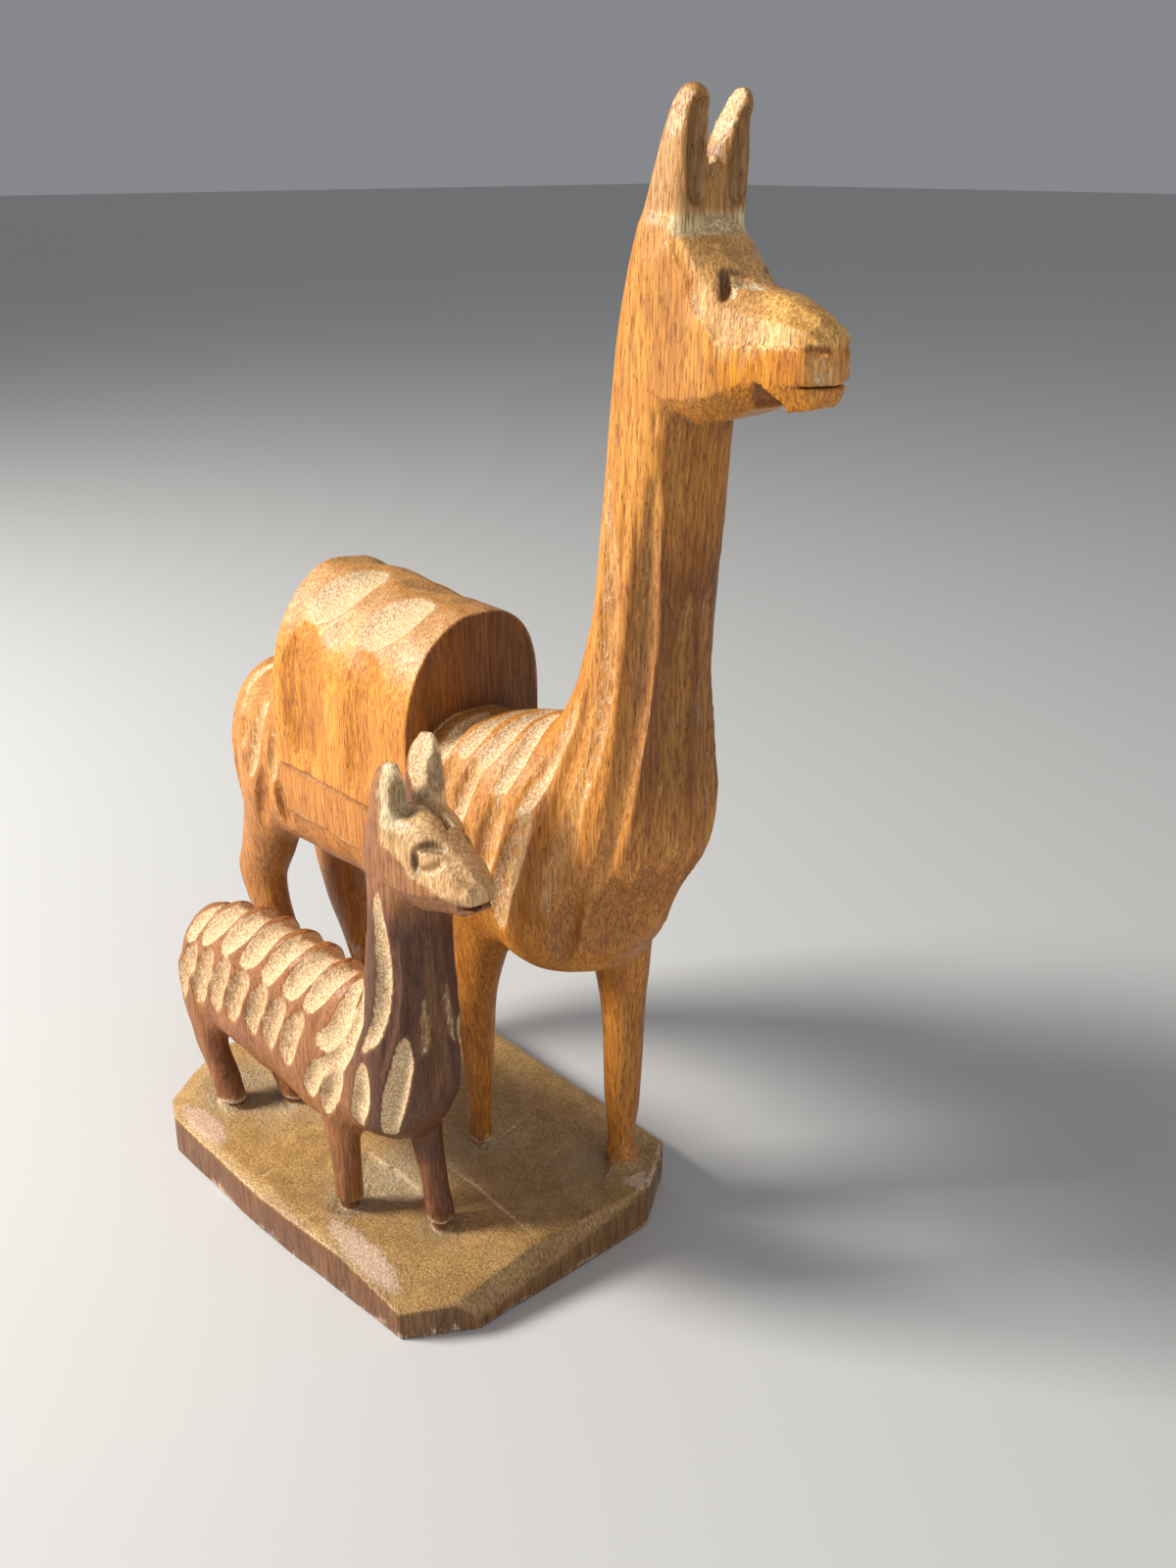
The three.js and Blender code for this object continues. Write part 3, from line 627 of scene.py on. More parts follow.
def sweep(points, normals, radius, depth, colour, plunge=0.6):
    """Takes away what a round gouge takes as it runs in along the surface and out again.

    It bites little deeper than its depth and takes nothing well above the surface, so a wide scoop
    on the base leaves the legs that stand in it.
    """
    deepest = 1.3 * depth
    clearance = 1.0
    share = np.linspace(0, 1, len(points))
    sunk = depth * np.sin(share * math.pi) ** plunge
    centres = points + normals * (radius - sunk)[:, None]
    half = math.sqrt(max(2 * radius * depth - depth * depth, 0)) + 1.2
    for i in range(len(points) - 1):
        a, b = centres[i], centres[i + 1]
        near = points[i : i + 2]
        cuts, x, y, z = window(near.min(0) - half, near.max(0) + half)
        run = b - a
        dx, dy, dz = x - a[0], y - a[1], z - a[2]
        along = np.clip((dx * run[0] + dy * run[1] + dz * run[2]) / max(run @ run, 1e-9), 0, 1)
        gap = np.sqrt((dx - along * run[0]) ** 2 + (dy - along * run[1]) ** 2 + (dz - along * run[2]) ** 2)
        px, py, pz = points[i]
        nx, ny, nz = normals[i]
        above_surface = (x - px) * nx + (y - py) * ny + (z - pz) * nz
        allowed = np.minimum(wood[cuts] + deepest, clearance - above_surface)
        take_away(cuts, np.minimum(radius - gap, allowed), colour)


def gouge(points, width, depth, colour, **ends):
    """A cut of this width and depth along points on the surface."""
    radius = (width * width / 4 + depth * depth) / (2 * depth)
    sweep(points, slopes_at(wood, points, 1.5), radius, depth, colour, **ends)


# Each cut: width, depth, how pale it is inside (below nought, how dark its inside is painted as shade), and
# its path along the form as place and angle.
neck_cuts = [
    (5.6, 1.5, 0.75, [[169, -124], [154, -103], [141, -92], [127, -84], [117, -80], [104, -80]]),
    (5.0, 1.6, 0.55, [[169, -57], [150, -54], [132, -50], [113, -48], [103, -48], [92, -47]]),
    (4.4, 1.5, 0.5, [[149, -11], [139, -14], [124, -17], [109, -16], [98, -13]]),
    (4.2, 1.3, 0.35, [[142, 22], [131, 9], [117, 4], [103, 0], [94, -1]]),
    (2.8, 0.8, 0.0, [[165, -70], [150, -64], [138, -61], [128, -59], [116, -54], [104, -58]]),
    (5.8, 1.4, 0.8, [[114, -82], [107, -80], [97, -77], [86, -75]]),
    (4.8, 1.2, 0.3, [[138, -104], [122, -98], [111, -97], [99, -96]]),
    (3.2, 0.9, 0.15, [[139, -32], [122, -31], [108, -31], [97, -33]]),
    (2.8, 0.7, 0.1, [[179, -39], [162, -36], [146, -33]]),
    (2.4, 0.6, 0.1, [[175, -84], [160, -86], [146, -80]]),
    (6.4, 1.7, -0.25, [[93, -59], [84, -57], [74, -51]]),
    (6.4, 1.7, -0.25, [[96, -37], [87, -35], [78, -36]]),
    (6.0, 1.6, -0.25, [[99, -22], [89, -22], [79, -24]]),
    (6.0, 1.5, -0.25, [[101, -7], [92, -9], [82, -11]]),
]
shoulder_cuts = [
    (5.0, 1.3, 1.0, [[14, 126], [14, 108], [13, 90]]),
    (6.2, 1.6, 1.0, [[20, 124], [21.5, 109], [22, 92], [23, 78]]),
    (5.6, 1.5, 1.0, [[26, 130], [29, 112], [29.5, 97], [29, 80]]),
    (5.2, 1.4, 0.95, [[33.5, 140], [35.5, 122], [36, 108], [35, 92]]),
    (5.4, 1.4, 0.9, [[40, 146], [44, 127], [47, 116], [51, 107]]),
    (6.6, 1.7, 1.0, [[32.5, 226], [36, 200], [40, 168], [43, 140]]),
    (6.0, 1.6, 0.85, [[30, 194], [32, 170], [34, 150], [35, 136]]),
    (5.2, 1.4, 0.85, [[23, 160], [24, 141], [26, 125]]),
    (5.4, 1.3, 0.35, [[24, 202], [25, 182], [26, 163]]),
    (5.0, 1.2, 0.4, [[17, 156], [17.5, 139], [18.5, 124]]),
    (4.6, 1.2, 0.7, [[51, 178], [53, 160], [55, 142]]),
]
rump_cuts = [
    (5.0, 1.3, 1.0, [[-61, 106], [-63, 116], [-63.5, 130]]),
    (5.4, 1.4, 0.95, [[-49.5, 132], [-52, 152], [-53.5, 170], [-57, 194]]),
    (4.2, 1.2, 0.9, [[-43.8, 146], [-44.8, 167], [-46.8, 192]]),
    (5.2, 1.3, 0.5, [[-63, 132], [-60, 149], [-60, 172]]),
    (5.6, 1.4, 0.1, [[-48.5, 182], [-52, 206], [-56, 228]]),
    (5.2, 1.3, -0.1, [[-43.5, 190], [-43.5, 208], [-43, 226]]),
    (5.0, 1.3, 0.3, [[-66, 166], [-67, 190], [-66, 216]]),
]
pack_side_cuts = [
    (15.0, 1.7, -0.12, [[-31, 137], [-31.5, 152], [-30.5, 178], [-29.5, 198], [-28.5, 211]]),
    (14.5, 1.7, -0.12, [[-9, 139], [-7.5, 156], [-7.5, 181], [-8.5, 204], [-9.5, 215]]),
]
pack_top_cuts = [
    (13.0, 1.5, 0.9, [[-31, 125], [-28.5, 113], [-26.5, 101], [-25.8, 88]]),
    (12.5, 1.5, 0.95, [[-9.5, 126], [-8, 117], [-5.5, 106], [-3.8, 95]]),
    (9.0, 0.8, 0.45, [[-20.5, 133], [-19, 125], [-17.5, 118]]),
    (12.0, 1.3, 0.3, [[-38, 84], [-36, 75], [-33, 60]]),
    (12.0, 1.3, 0.3, [[-17, 82], [-12, 76], [-7, 62]]),
    (11.0, 1.0, 0.2, [[-30, 54], [-28, 44], [-27, 34]]),
    (11.0, 1.0, 0.2, [[-8, 46], [-7, 38], [-6, 28]]),
]
young_back_cuts = [
    (6.8, 1.9, 1.0, [[x + 1.5, 74], [x + 1.5, 92], [x, 107], [x - 4.5, 127]])
    for x in (-43, -34, -25, -16.5, -7.5, 1.5, 9.5)
]
young_flank_cuts = [
    (6.2, 1.6, 0.6, [[x, 133], [x - 4, 160], [x - 6, 184], [x - 8, 210]])
    for x in (-42, -34.2, -26.4, -18.8, -11.2, -3.6, 4)
]
young_chest_cuts = [
    (5.8, 1.5, 0.95, [[17.5, 95], [18.5, 112], [15.5, 140], [10, 152]]),
    (5.8, 1.6, 0.95, [[25.5, 108], [21.5, 134], [16.5, 168], [9, 190]]),
    (5.4, 1.5, 0.8, [[18.5, 170], [15.5, 198], [11.5, 230]]),
    (5.2, 1.4, 0.8, [[11, 180], [8, 202], [4, 228]]),
    (5.4, 1.5, 0.95, [[27.5, 152], [26, 196], [21.5, 238]]),
]
young_neck_cuts = [
    (4.6, 1.3, 0.7, [[93, -92], [82, -76], [72, -72], [65, -82], [57, -106]]),
    (5.4, 1.5, 1.0, [[64, -40], [54, -46], [46, -48], [38, -41]]),
    (3.0, 0.8, 0.5, [[75, -11], [67, -15], [60, -22]]),
    (3.0, 0.8, 0.0, [[87, -29], [78, -28], [68, -36], [58, -26]]),
    (3.0, 0.8, 0.0, [[86, -56], [74, -56], [66, -62], [55, -70]]),
    (3.2, 0.9, 0.2, [[86, 10], [72, 8], [62, 0], [48, -8]]),
]


def mirrored(cuts, axis):
    return [
        (*tool, [[along, -angle if axis == "z" else 180 - angle] for along, angle in path])
        for *tool, path in cuts
    ]


def carve(rows, axis, cuts, **ends):
    for width, depth, colour, path in cuts:
        gouge(surface_path(rows, axis, path), width, depth, colour, **ends)


carve(mother_neck, "z", neck_cuts + mirrored([c for c in neck_cuts if c[3][0][1] < -2], "z"))
carve(mother_torso, "x", shoulder_cuts + mirrored(shoulder_cuts[4:], "x"))
carve(mother_torso, "x", rump_cuts + mirrored(rump_cuts[1:], "x"))
carve(pack_axis, "x", pack_side_cuts + mirrored(pack_side_cuts, "x"), plunge=0.35)
carve(pack_axis, "x", pack_top_cuts, plunge=0.6)
for cuts in (young_back_cuts, young_flank_cuts, young_chest_cuts):
    carve(young_torso, "x", cuts + mirrored(cuts, "x"))
carve(young_neck, "z", young_neck_cuts + mirrored(young_neck_cuts, "z"))


def hollow(stops, radius):
    """A groove with its whole width sunk, for the inside of an ear, painted dark inside as shade."""
    points = even_steps(smooth_path(stops))
    for a, b in zip(points[:-1], points[1:]):
        cuts, x, y, z = window(np.minimum(a, b) - radius - 1, np.maximum(a, b) + radius + 1)
        middle = (a + b) / 2
        gap = np.sqrt((x - middle[0]) ** 2 + (y - middle[1]) ** 2 + (z - middle[2]) ** 2)
        take_away(cuts, radius - gap, -0.55)


hollow([[73.6, 7.2, 210.4], [73.7, 7.1, 214], [73.9, 6.9, 218], [74.3, 6.8, 221.4]], 2.6)
hollow([[73.4, 15.6, 210.2], [73.6, 15.9, 214], [73.8, 16.5, 218], [74.2, 17, 220.4]], 2.4)
for plane, lift in young_ears:
    hollow([[38.4, plane, z] for z in (112.6 + lift / 2, 114, 116 + lift)], 2.6)


def flat_cut(points, outward, low, high, colour):
    """Takes away everything on the outer side of a flat, inside a box."""
    normal, offset = plane_through(points, outward)
    cuts, x, y, z = window(low, high)
    side = x * normal[0] + y * normal[1] + z * normal[2] - offset
    middle = [(a + b) / 2 for a, b in zip(low, high)]
    box = np.abs(x - middle[0]) - (high[0] - low[0]) / 2
    box = np.maximum(box, np.abs(y - middle[1]) - (high[1] - low[1]) / 2)
    box = np.maximum(box, np.abs(z - middle[2]) - (high[2] - low[2]) / 2)
    take_away(cuts, -np.maximum(-side, box), colour)


# The flats that make the ears' tips.
near_tip = [[71.9, 4.1, 216.4], [69.3, 4.1, 218.3], [72, 5.9, 225]]
far_tip = [[70.6, 13.7, 216.4], [68.4, 13.6, 215.2], [72, 16.7, 225]]
flat_cut(near_tip, (0, -1, 0), (60, 0, 212), (80, 11.5, 230), 0.9)
flat_cut(far_tip, (0, -1, 0), (60, 11.6, 212), (80, 24, 230), 1)
young_far = YOUNG_PLANE + 4
flat_cut(
    [[35, young_far - 2.6, 111], [32, young_far - 2.6, 112], [35, young_far + 0.4, 122.5]],
    (0, -1, 0),
    (24, YOUNG_PLANE, 106),
    (45, -8, 126),
    0.8,
)


def through_cut(outline, plane, colour):
    """A cut straight through a head, from an outline in X and Z."""
    half_width = 12
    corners = [np.array([x, plane, z], float) for x, z in outline]
    middle = np.mean(corners, axis=0)
    planes = []
    for a, b in zip(corners, corners[1:] + corners[:1]):
        planes.append(plane_through((a, b, a + np.array([0, 1.0, 0])), (a + b) / 2 - middle))
    low = np.min(corners, axis=0) - [1, half_width, 1]
    high = np.max(corners, axis=0) + [1, half_width, 1]
    cuts, x, y, z = window(low, high)
    take_away(cuts, -planes_distance(planes, x, y, z), colour)


def both_sides(points, plane):
    return [points, [[x, 2 * plane - y, z] for x, y, z in points]]


# Eyes, brows, nostrils and mouths; the cuts marked below nought are painted dark inside as shade.
bridge_line = [[86.6, 6.1, 192.3], [89, 6.1, 191.1], [91.5, 6.6, 190.7], [94.4, 7.9, 191.3]]
face_cuts = [
    (MOTHER_PLANE, 1.5, 0.9, -0.9, [[77.9, 7.2, 200.0], [78.6, 7.0, 198.2], [79.4, 6.0, 196.2]]),
    (MOTHER_PLANE, 1.3, 0.8, -0.8, [[78.2, 8.0, 199.9], [80.4, 9.2, 199.7], [82.4, 10.2, 199.2]]),
    (MOTHER_PLANE, 1.9, 0.6, 1.0, [[79.3, 8.0, 198.4], [81.4, 9.2, 198.0], [83.8, 10.2, 197.8]]),
    (MOTHER_PLANE, 1.3, 0.35, 0.9, [[79.8, 7.3, 197.8], [80.4, 6.6, 196.3]]),
    (MOTHER_PLANE, 1.2, 0.3, 1.0, bridge_line),
    (MOTHER_PLANE, 1.2, 0.7, -0.7, [[94.0, 7.7, 190.9], [95.4, 8.3, 190.0], [96.9, 10.4, 190.6]]),
    (MOTHER_PLANE, 2.2, 0.4, 0.8, [[94.9, 9.0, 188.6], [95.6, 9.2, 187], [95.2, 9.8, 185.6]]),
    (MOTHER_PLANE, 2.0, 0.35, 0.7, [[74.4, 4.2, 199.6], [74.9, 4.0, 197], [76.4, 4.0, 194.2]]),
    (YOUNG_PLANE, 2.0, 1.2, -0.7, [[42.6, -28.3, 104.6], [43, -28.4, 102.4], [43.4, -28.6, 100.6]]),
    (YOUNG_PLANE, 1.8, 1.0, -0.7, [[43.0, -27.6, 105.2], [45.4, -26.2, 105.9], [47.8, -25.2, 105.4]]),
    (YOUNG_PLANE, 1.5, 0.6, 0.3, [[44.2, -27.8, 101.6], [46.4, -27.0, 102.2], [48.0, -26.0, 103.8]]),
]
for plane, width, depth, colour, path in face_cuts:
    for line in both_sides(path, plane):
        gouge(even_steps(smooth_path(line), 0.4), width, depth, colour)
gouge(even_steps(smooth_path([[83.2, 10.4, 198.4], [83.6, 12, 198.5], [83.2, 13.6, 198.4]])), 2.2, 0.35, 1)
# The mouths' lines and the notch under the mother's jaw are painted dark as shade.
through_cut([[87.0, 184.85], [99, 185.15], [99, 184.5]], MOTHER_PLANE, -0.6)
through_cut([[86.6, 185.3], [90, 182.2], [90, 178], [85, 178], [84.6, 182]], MOTHER_PLANE, -0.5)
through_cut([[99, 186], [95.8, 184.9], [94, 179], [99, 179]], MOTHER_PLANE, 0.3)
through_cut([[50.8, 96.2], [57, 97.7], [57, 96.6]], YOUNG_PLANE, -0.5)

# The pack stands a little proud of the blanket, and the blanket of the belly; the groove cut under each edge
# is painted dark as the shadow of the overhang.
for z, reach in ((pack["foot"] - 0.3, 7), (blanket["heights"][0] - 0.2, 5)):
    for y in (-reach, 24 + reach):
        edge = np.array([[-43, y, z], [8.5, y, z]], float)
        steps = even_steps(edge)
        for _ in range(4):
            steps[:, 1] -= np.sign(y) * sampled(wood, steps)
        gouge(steps, 1.2, 0.5, -0.5, plunge=0.2)

# Torn fibres where the jaw meets the neck, some painted pale as raw wood and the rest painted dark as shade
# under the jaw.
for i in range(11):
    turn = math.radians(-112 + 17 * i)
    z = 177.5 + random.uniform(-1.5, 1.5)
    centre = np.array([63, 12.3])
    out = np.array([math.cos(turn), math.sin(turn)])
    line = [[*(centre + out * 9.6), z - random.uniform(3, 6)], [*(centre + out * 10.4), z + 1.5]]
    gouge(even_steps(np.array(line)), 1.7, 0.6, random.choice([-0.6, 0.8]))

# Broad scoops, knife lines and worn flats on top of the base.
base_lines = [
    (1.6, 0.4, 0.7, [[13, -5.5], [26, -4.5], [37.8, -5.1], [48, -5.6]]),
    (1.3, 0.3, 0.7, [[15.4, 3.6], [14.2, 14], [11.4, 26.5]]),
    (1.3, 0.3, 0.7, [[29, 11.6], [27.8, 16], [26, 22]]),
    (1.3, 0.3, 0.7, [[21, 28.4], [25, 26.4], [30, 23.8]]),
    (1.2, 0.3, 0.8, [[-10, -31.5], [-9, -35], [-8.4, -39]]),
]
base_scoops = [
    (16, 0.7, 0, [[-44, -16], [-30, -24], [-14, -32]]),
    (15, 0.7, 0, [[-6, -34], [6, -26], [20, -22]]),
    (14, 0.6, 0, [[22, -30], [32, -22], [44, -14]]),
    (14, 0.6, 0, [[20, 2], [32, 1], [46, 2]]),
    (16, 0.6, 0, [[-2, 10], [-2, 22], [0, 34]]),
    (16, 0.6, 0, [[-22, 8], [-24, 20], [-24, 34]]),
    (14, 0.6, 0, [[-50, -2], [-50, 12], [-46, 26]]),
]


def on_base(path):
    flat = smooth_path([[x, y, 0] for x, y in path])
    flat[:, 2] = base_height
    steps = even_steps(flat)
    for _ in range(3):
        steps[:, 2] -= sampled(wood, steps)
    return steps


for width, depth, colour, path in base_scoops + base_lines:
    gouge(on_base(path), width, depth, colour)

# Fibres stand up a little inside the fresh cuts, and all over the young one.
fibres = unevenness((1.1, 1.1, 3.2), 0.34)
painted = paint.astype(np.float32)
torn = np.where(painted > 0, 0.35 * painted, 0) + np.where((painted < 0) & (painted > -0.2), 1.0, 0)
young_side = -12.2
torn = np.maximum(torn, ((AXES[1] < young_side)[:, None] & (AXES[2] > base_height + 2)[None, :])[None] * 0.5)
distance += fibres * torn
del fibres, torn, painted

# The underside was sawn flat.
cuts, x, y, z = window(LOW, [HIGH[0], HIGH[1], 6])
distance[cuts] = np.maximum(distance[cuts], -z)


def surface_mesh():
    """The surface where the distance is nought: one point in each grid cell that it crosses."""
    inside = (distance < 0).astype(np.int8)
    corners = [(dx, dy, dz) for dx in (0, 1) for dy in (0, 1) for dz in (0, 1)]
    nx, ny, nz = distance.shape
    total = sum(inside[dx : nx - 1 + dx, dy : ny - 1 + dy, dz : nz - 1 + dz] for dx, dy, dz in corners)
    cells = np.argwhere((total > 0) & (total < 8))
    index = np.full(total.shape, -1, np.int32)
    index[tuple(cells.T)] = np.arange(len(cells))
    sums = np.zeros((len(cells), 3))
    crossings = np.zeros(len(cells))
    for a in corners:
        for axis in range(3):
            if a[axis]:
                continue
            step = np.eye(3, dtype=int)[axis]
            start = distance[tuple((cells + a).T)]
            end = distance[tuple((cells + a + step).T)]
            hit = (start < 0) != (end < 0)
            share = np.where(hit, start / np.where(hit, start - end, 1), 0)
            sums[hit] += (cells + a + share[:, None] * step)[hit]
            crossings += hit
    points = LOW + STEP * sums / crossings[:, None]
    quads = []
    for axis in range(3):
        u, v = [k for k in range(3) if k != axis]
        lower = [slice(None)] * 3
        upper = [slice(None)] * 3
        lower[axis], upper[axis] = slice(0, -1), slice(1, None)
        starts = inside[tuple(lower)].astype(bool)
        stops = inside[tuple(upper)].astype(bool)
        for leaving in (True, False):
            edges = np.argwhere((starts & ~stops) if leaving else (~starts & stops))
            edges = edges[(edges[:, u] > 0) & (edges[:, v] > 0)]
            ring = []
            for du, dv in ((0, 0), (-1, 0), (-1, -1), (0, -1)):
                cell = edges.copy()
                cell[:, u] += du
                cell[:, v] += dv
                ring.append(index[tuple(cell.T)])
            ring = np.stack(ring, axis=1)
            quads.append(ring if leaving != (axis == 1) else ring[:, ::-1])
    return points, np.concatenate(quads)


points, quads = surface_mesh()
for _ in range(2):
    normals = slopes_at(distance, points)
    points -= normals * np.clip(sampled(distance, points), -0.3 * STEP, 0.3 * STEP)[:, None]
triangles = np.concatenate([quads[:, [0, 1, 2]], quads[:, [0, 2, 3]]])


def mesh_object(name, points, faces):
    mesh = bpy.data.meshes.new(name)
    mesh.vertices.add(len(points))
    mesh.vertices.foreach_set("co", points.astype(np.float32).ravel())
    size = faces.shape[1]
    mesh.loops.add(faces.size)
    mesh.loops.foreach_set("vertex_index", faces.astype(np.int32).ravel())
    mesh.polygons.add(len(faces))
    mesh.polygons.foreach_set("loop_start", np.arange(0, faces.size, size, dtype=np.int32))
    mesh.update(calc_edges=True)
    piece = bpy.data.objects.new(name, mesh)
    bpy.context.scene.collection.objects.link(piece)
    return piece


def reduced_mesh(piece, faces):
    """The piece's mesh with its flattest triangles merged until this many are left."""
    reduce = piece.modifiers.new("reduce", "DECIMATE")
    reduce.ratio = min(1.0, faces / len(piece.data.polygons))
    evaluated = piece.evaluated_get(bpy.context.evaluated_depsgraph_get())
    mesh = bpy.data.meshes.new_from_object(evaluated)
    bpy.data.objects.remove(piece)
    return mesh


mesh = reduced_mesh(mesh_object("draft", (points + SHIFT) * MM, triangles), FACES)
mesh.name = "carved_llamas"
carving = bpy.data.objects.new("carved_llamas", mesh)
bpy.context.scene.collection.objects.link(carving)
mesh.polygons.foreach_set("use_smooth", np.ones(len(mesh.polygons), bool))

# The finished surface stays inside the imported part's box.
places = np.zeros(len(mesh.vertices) * 3, np.float32)
mesh.vertices.foreach_get("co", places)
places = np.clip(places.reshape(-1, 3), np.array(cad_low), np.array(cad_high)).astype(np.float32)
mesh.vertices.foreach_set("co", places.ravel())
mesh.update()
places = places.astype(float) / MM - SHIFT
outward = slopes_at(distance, places, 0.8)


def rise(values, start, end):
    """Nought before the start, one past the end, and a smooth step between."""
    t = np.clip((values - start) / (end - start), 0, 1)
    return t * t * (3 - 2 * t)


def spot(centre, radii):
    """One at a centre in the block's frame, fading to nought round it."""
    gap = (places - np.array(centre)) / np.array(radii)
    return np.exp(-np.sum(gap * gap, axis=1))


X, Y, Z = places.T
NX, NY, NZ = outward.T
on_base_part = 1 - rise(Z, base_height + 1.2, base_height + 3.5)
young = rise(-Y, 11.6, 12.8) * (1 - on_base_part)
mother = (1 - young) * (1 - on_base_part)
neck_part = rise(X, 34, 44) * rise(Z, 96, 118) * mother
head_part = rise(X + 0.55 * Z, 181, 184) * rise(Z, 176, 182) * mother
pack_part = (1 - rise(X, 8.6, 9.6)) * rise(X, -43.4, -42.6) * rise(Z, 88.4, 89.8) * mother
cutting = sampled(paint.astype(np.float32), places)
depth = np.clip(-sampled(wood, places), 0, 3)
cut = np.clip(depth / 0.3, 0, 1)
pale = np.clip(cutting, 0, 1) * cut
fresh = pale.copy()
# Inside the cuts the raw wood is pale; making it paler on level faces than on upright ones is painted light.
pale *= young + (1 - young) * (0.45 + 0.55 * rise(np.abs(NZ), 0.15, 0.6))
painted_cut_shade = np.clip(-cutting, 0, 1)

# How far the wood's own surface stands round a point: hollows are above nought, edges below.
around = sum(sampled(distance, places + outward * reach) / reach for reach in (1.5, 3, 5)) / 3
sunk = np.clip(1 - around, 0, 1)
within = sampled(distance, places - outward * 1.2) / 1.2
edge = np.clip(1 + within, 0, 1)

tint = np.tile(np.array([0.62, 0.25, 0.036]), (len(places), 1))


def wash(amount, colour):
    """Turns the tint towards a colour."""
    global tint
    tint = tint + np.asarray(amount)[:, None] * (np.array(colour) - tint)


level = rise(NZ, 0.35, 0.85)
wash(neck_part * 0.8, (0.70, 0.30, 0.05))
# Painted shade on the neck's far side, away from the lamp.
wash(neck_part * rise(Y + 0.9 * (X - 50), 8, 20) * (1 - head_part) * 0.85, (0.25, 0.085, 0.012))
wash(rise(Z, 150, 168) * mother * 0.6, (0.80, 0.36, 0.055))
wash(mother * (1 - rise(Z, 60, 84)) * (1 - rise(X, 30, 36)) * 0.55, (0.42, 0.175, 0.03))
wash(mother * rise(X, 20, 30) * (1 - rise(Z, 76, 96)) * 0.35, (0.48, 0.2, 0.032))
wash(mother * spot((45, -6, 98), (16, 10, 26)) * 0.5, (0.62, 0.29, 0.07))
wash(mother * spot((14, 2, 104), (14, 14, 14)) * 0.55, (0.72, 0.42, 0.15))
# Where the pale face meets the orange jaw, as places along the head and the border's height there.
border_places = [70.1, 73.8, 74.7, 77.3, 80.6, 87.7, 94.6]
border_heights = [205.9, 200.2, 197.5, 192.7, 189.1, 189.8, 190.7]
face_border = np.interp(X, border_places, border_heights)
above = rise(Z - face_border, -0.3, 0.4)
wash(head_part, (0.76, 0.33, 0.035))
wash(head_part * (1 - above) * rise(X, 74, 82), (0.74, 0.29, 0.014))
wash(head_part * above, (0.84, 0.47, 0.16))
wash(head_part * above * rise(X, 84, 89), (0.90, 0.52, 0.15))
wash(head_part * spot((96, 10, 187), (2.2, 4, 2.6)) * 0.6, (0.80, 0.5, 0.26))
shelf = head_part * rise(Z, 204.2, 205) * (1 - rise(Z, 207.2, 207.9)) * rise(X, 69.2, 70.2)
wash(shelf, (0.84, 0.68, 0.40))
ears = rise(Z, 207.6, 208.4) * rise(X, 60, 64) * mother
wash(ears * 0.75, (0.50, 0.27, 0.09))
# Painted light: the pack's level top made lighter.
wash(pack_part * level * 0.75, (0.74, 0.40, 0.12))
# Painted light: the pack's near side, which faces the lamp, made brighter.
wash(pack_part * rise(-NY, 0.6, 0.95) * 0.9, (0.80, 0.32, 0.028))
# Painted highlight on the pack's shoulders that slope up towards the lamp.
lit_pack_shoulder = rise(-NY, 0.1, 0.4) * (1 - rise(-NY, 0.75, 0.95)) * rise(NZ, 0.3, 0.7)
wash(pack_part * lit_pack_shoulder * 0.7, (0.76, 0.44, 0.22))
# Painted shade on the pack's front face, turned from the lamp.
wash(pack_part * rise(NX, 0.7, 0.95), (0.27, 0.105, 0.015))
# Painted light on the rump, which faces the lamp.
wash(rise(-X, 44, 52) * mother * rise(Z, 74, 96) * 0.5, (0.68, 0.34, 0.09))
wash(young, (0.36, 0.14, 0.038))
# Painted shade on the young one's chest, turned from the lamp.
wash(young * rise(X, 14, 30) * (1 - rise(Z, 84, 96)) * 0.85, (0.085, 0.024, 0.006))
wash(young * rise(Z, 88, 96) * rise(X, 30, 36) * 0.6, (0.42, 0.2, 0.075))
young_border = np.interp(X, [33.9, 38.7, 41.6, 50.8], [104.1, 102.4, 99.8, 97.4])
young_face = young * rise(X, 33.6, 34.4) * rise(Z - young_border, -0.3, 0.4)
wash(young_face, (0.72, 0.47, 0.23))
wash(young_face * (1 - rise(X, 38, 40)) * rise(Z, 106.4, 107.4), (0.80, 0.66, 0.42))
wash(young * (1 - rise(Z, 22, 32)) * 0.5, (0.22, 0.085, 0.035))
# Painted light on the young one's upward faces.
wash(young * level * (1 - rise(Z, 70, 80)) * 0.35, (0.50, 0.24, 0.085))
wash(on_base_part, (0.56, 0.36, 0.14))
wash(on_base_part * rise(X - 0.6 * Y, 6, 26) * 0.5, (0.40, 0.255, 0.10))
wash(on_base_part * spot((-32, -20, 10), (18, 14, 8)) * 0.6, (0.70, 0.43, 0.14))
side = on_base_part * (1 - rise(NZ, 0.2, 0.55))
wash(side, (0.215, 0.092, 0.032))
wash(side * rise(NX, 0.5, 0.9) * 0.5, (0.27, 0.15, 0.045))
wash(side * rise(-X, 34, 60) * 0.5, (0.34, 0.17, 0.06))
wash(fresh * 0.6 * (1 - young), (0.80, 0.42, 0.12))
wash(fresh * 0.5 * young, (0.72, 0.40, 0.14))
# Painted shade inside the cuts marked below nought.
wash(painted_cut_shade * 0.8, (0.07, 0.025, 0.008))
# Painted shade in the hollows of the surface, where less light reaches.
wash(rise(sunk, 0.25, 0.8) * 0.55 * (1 - pale), (0.10, 0.038, 0.012))

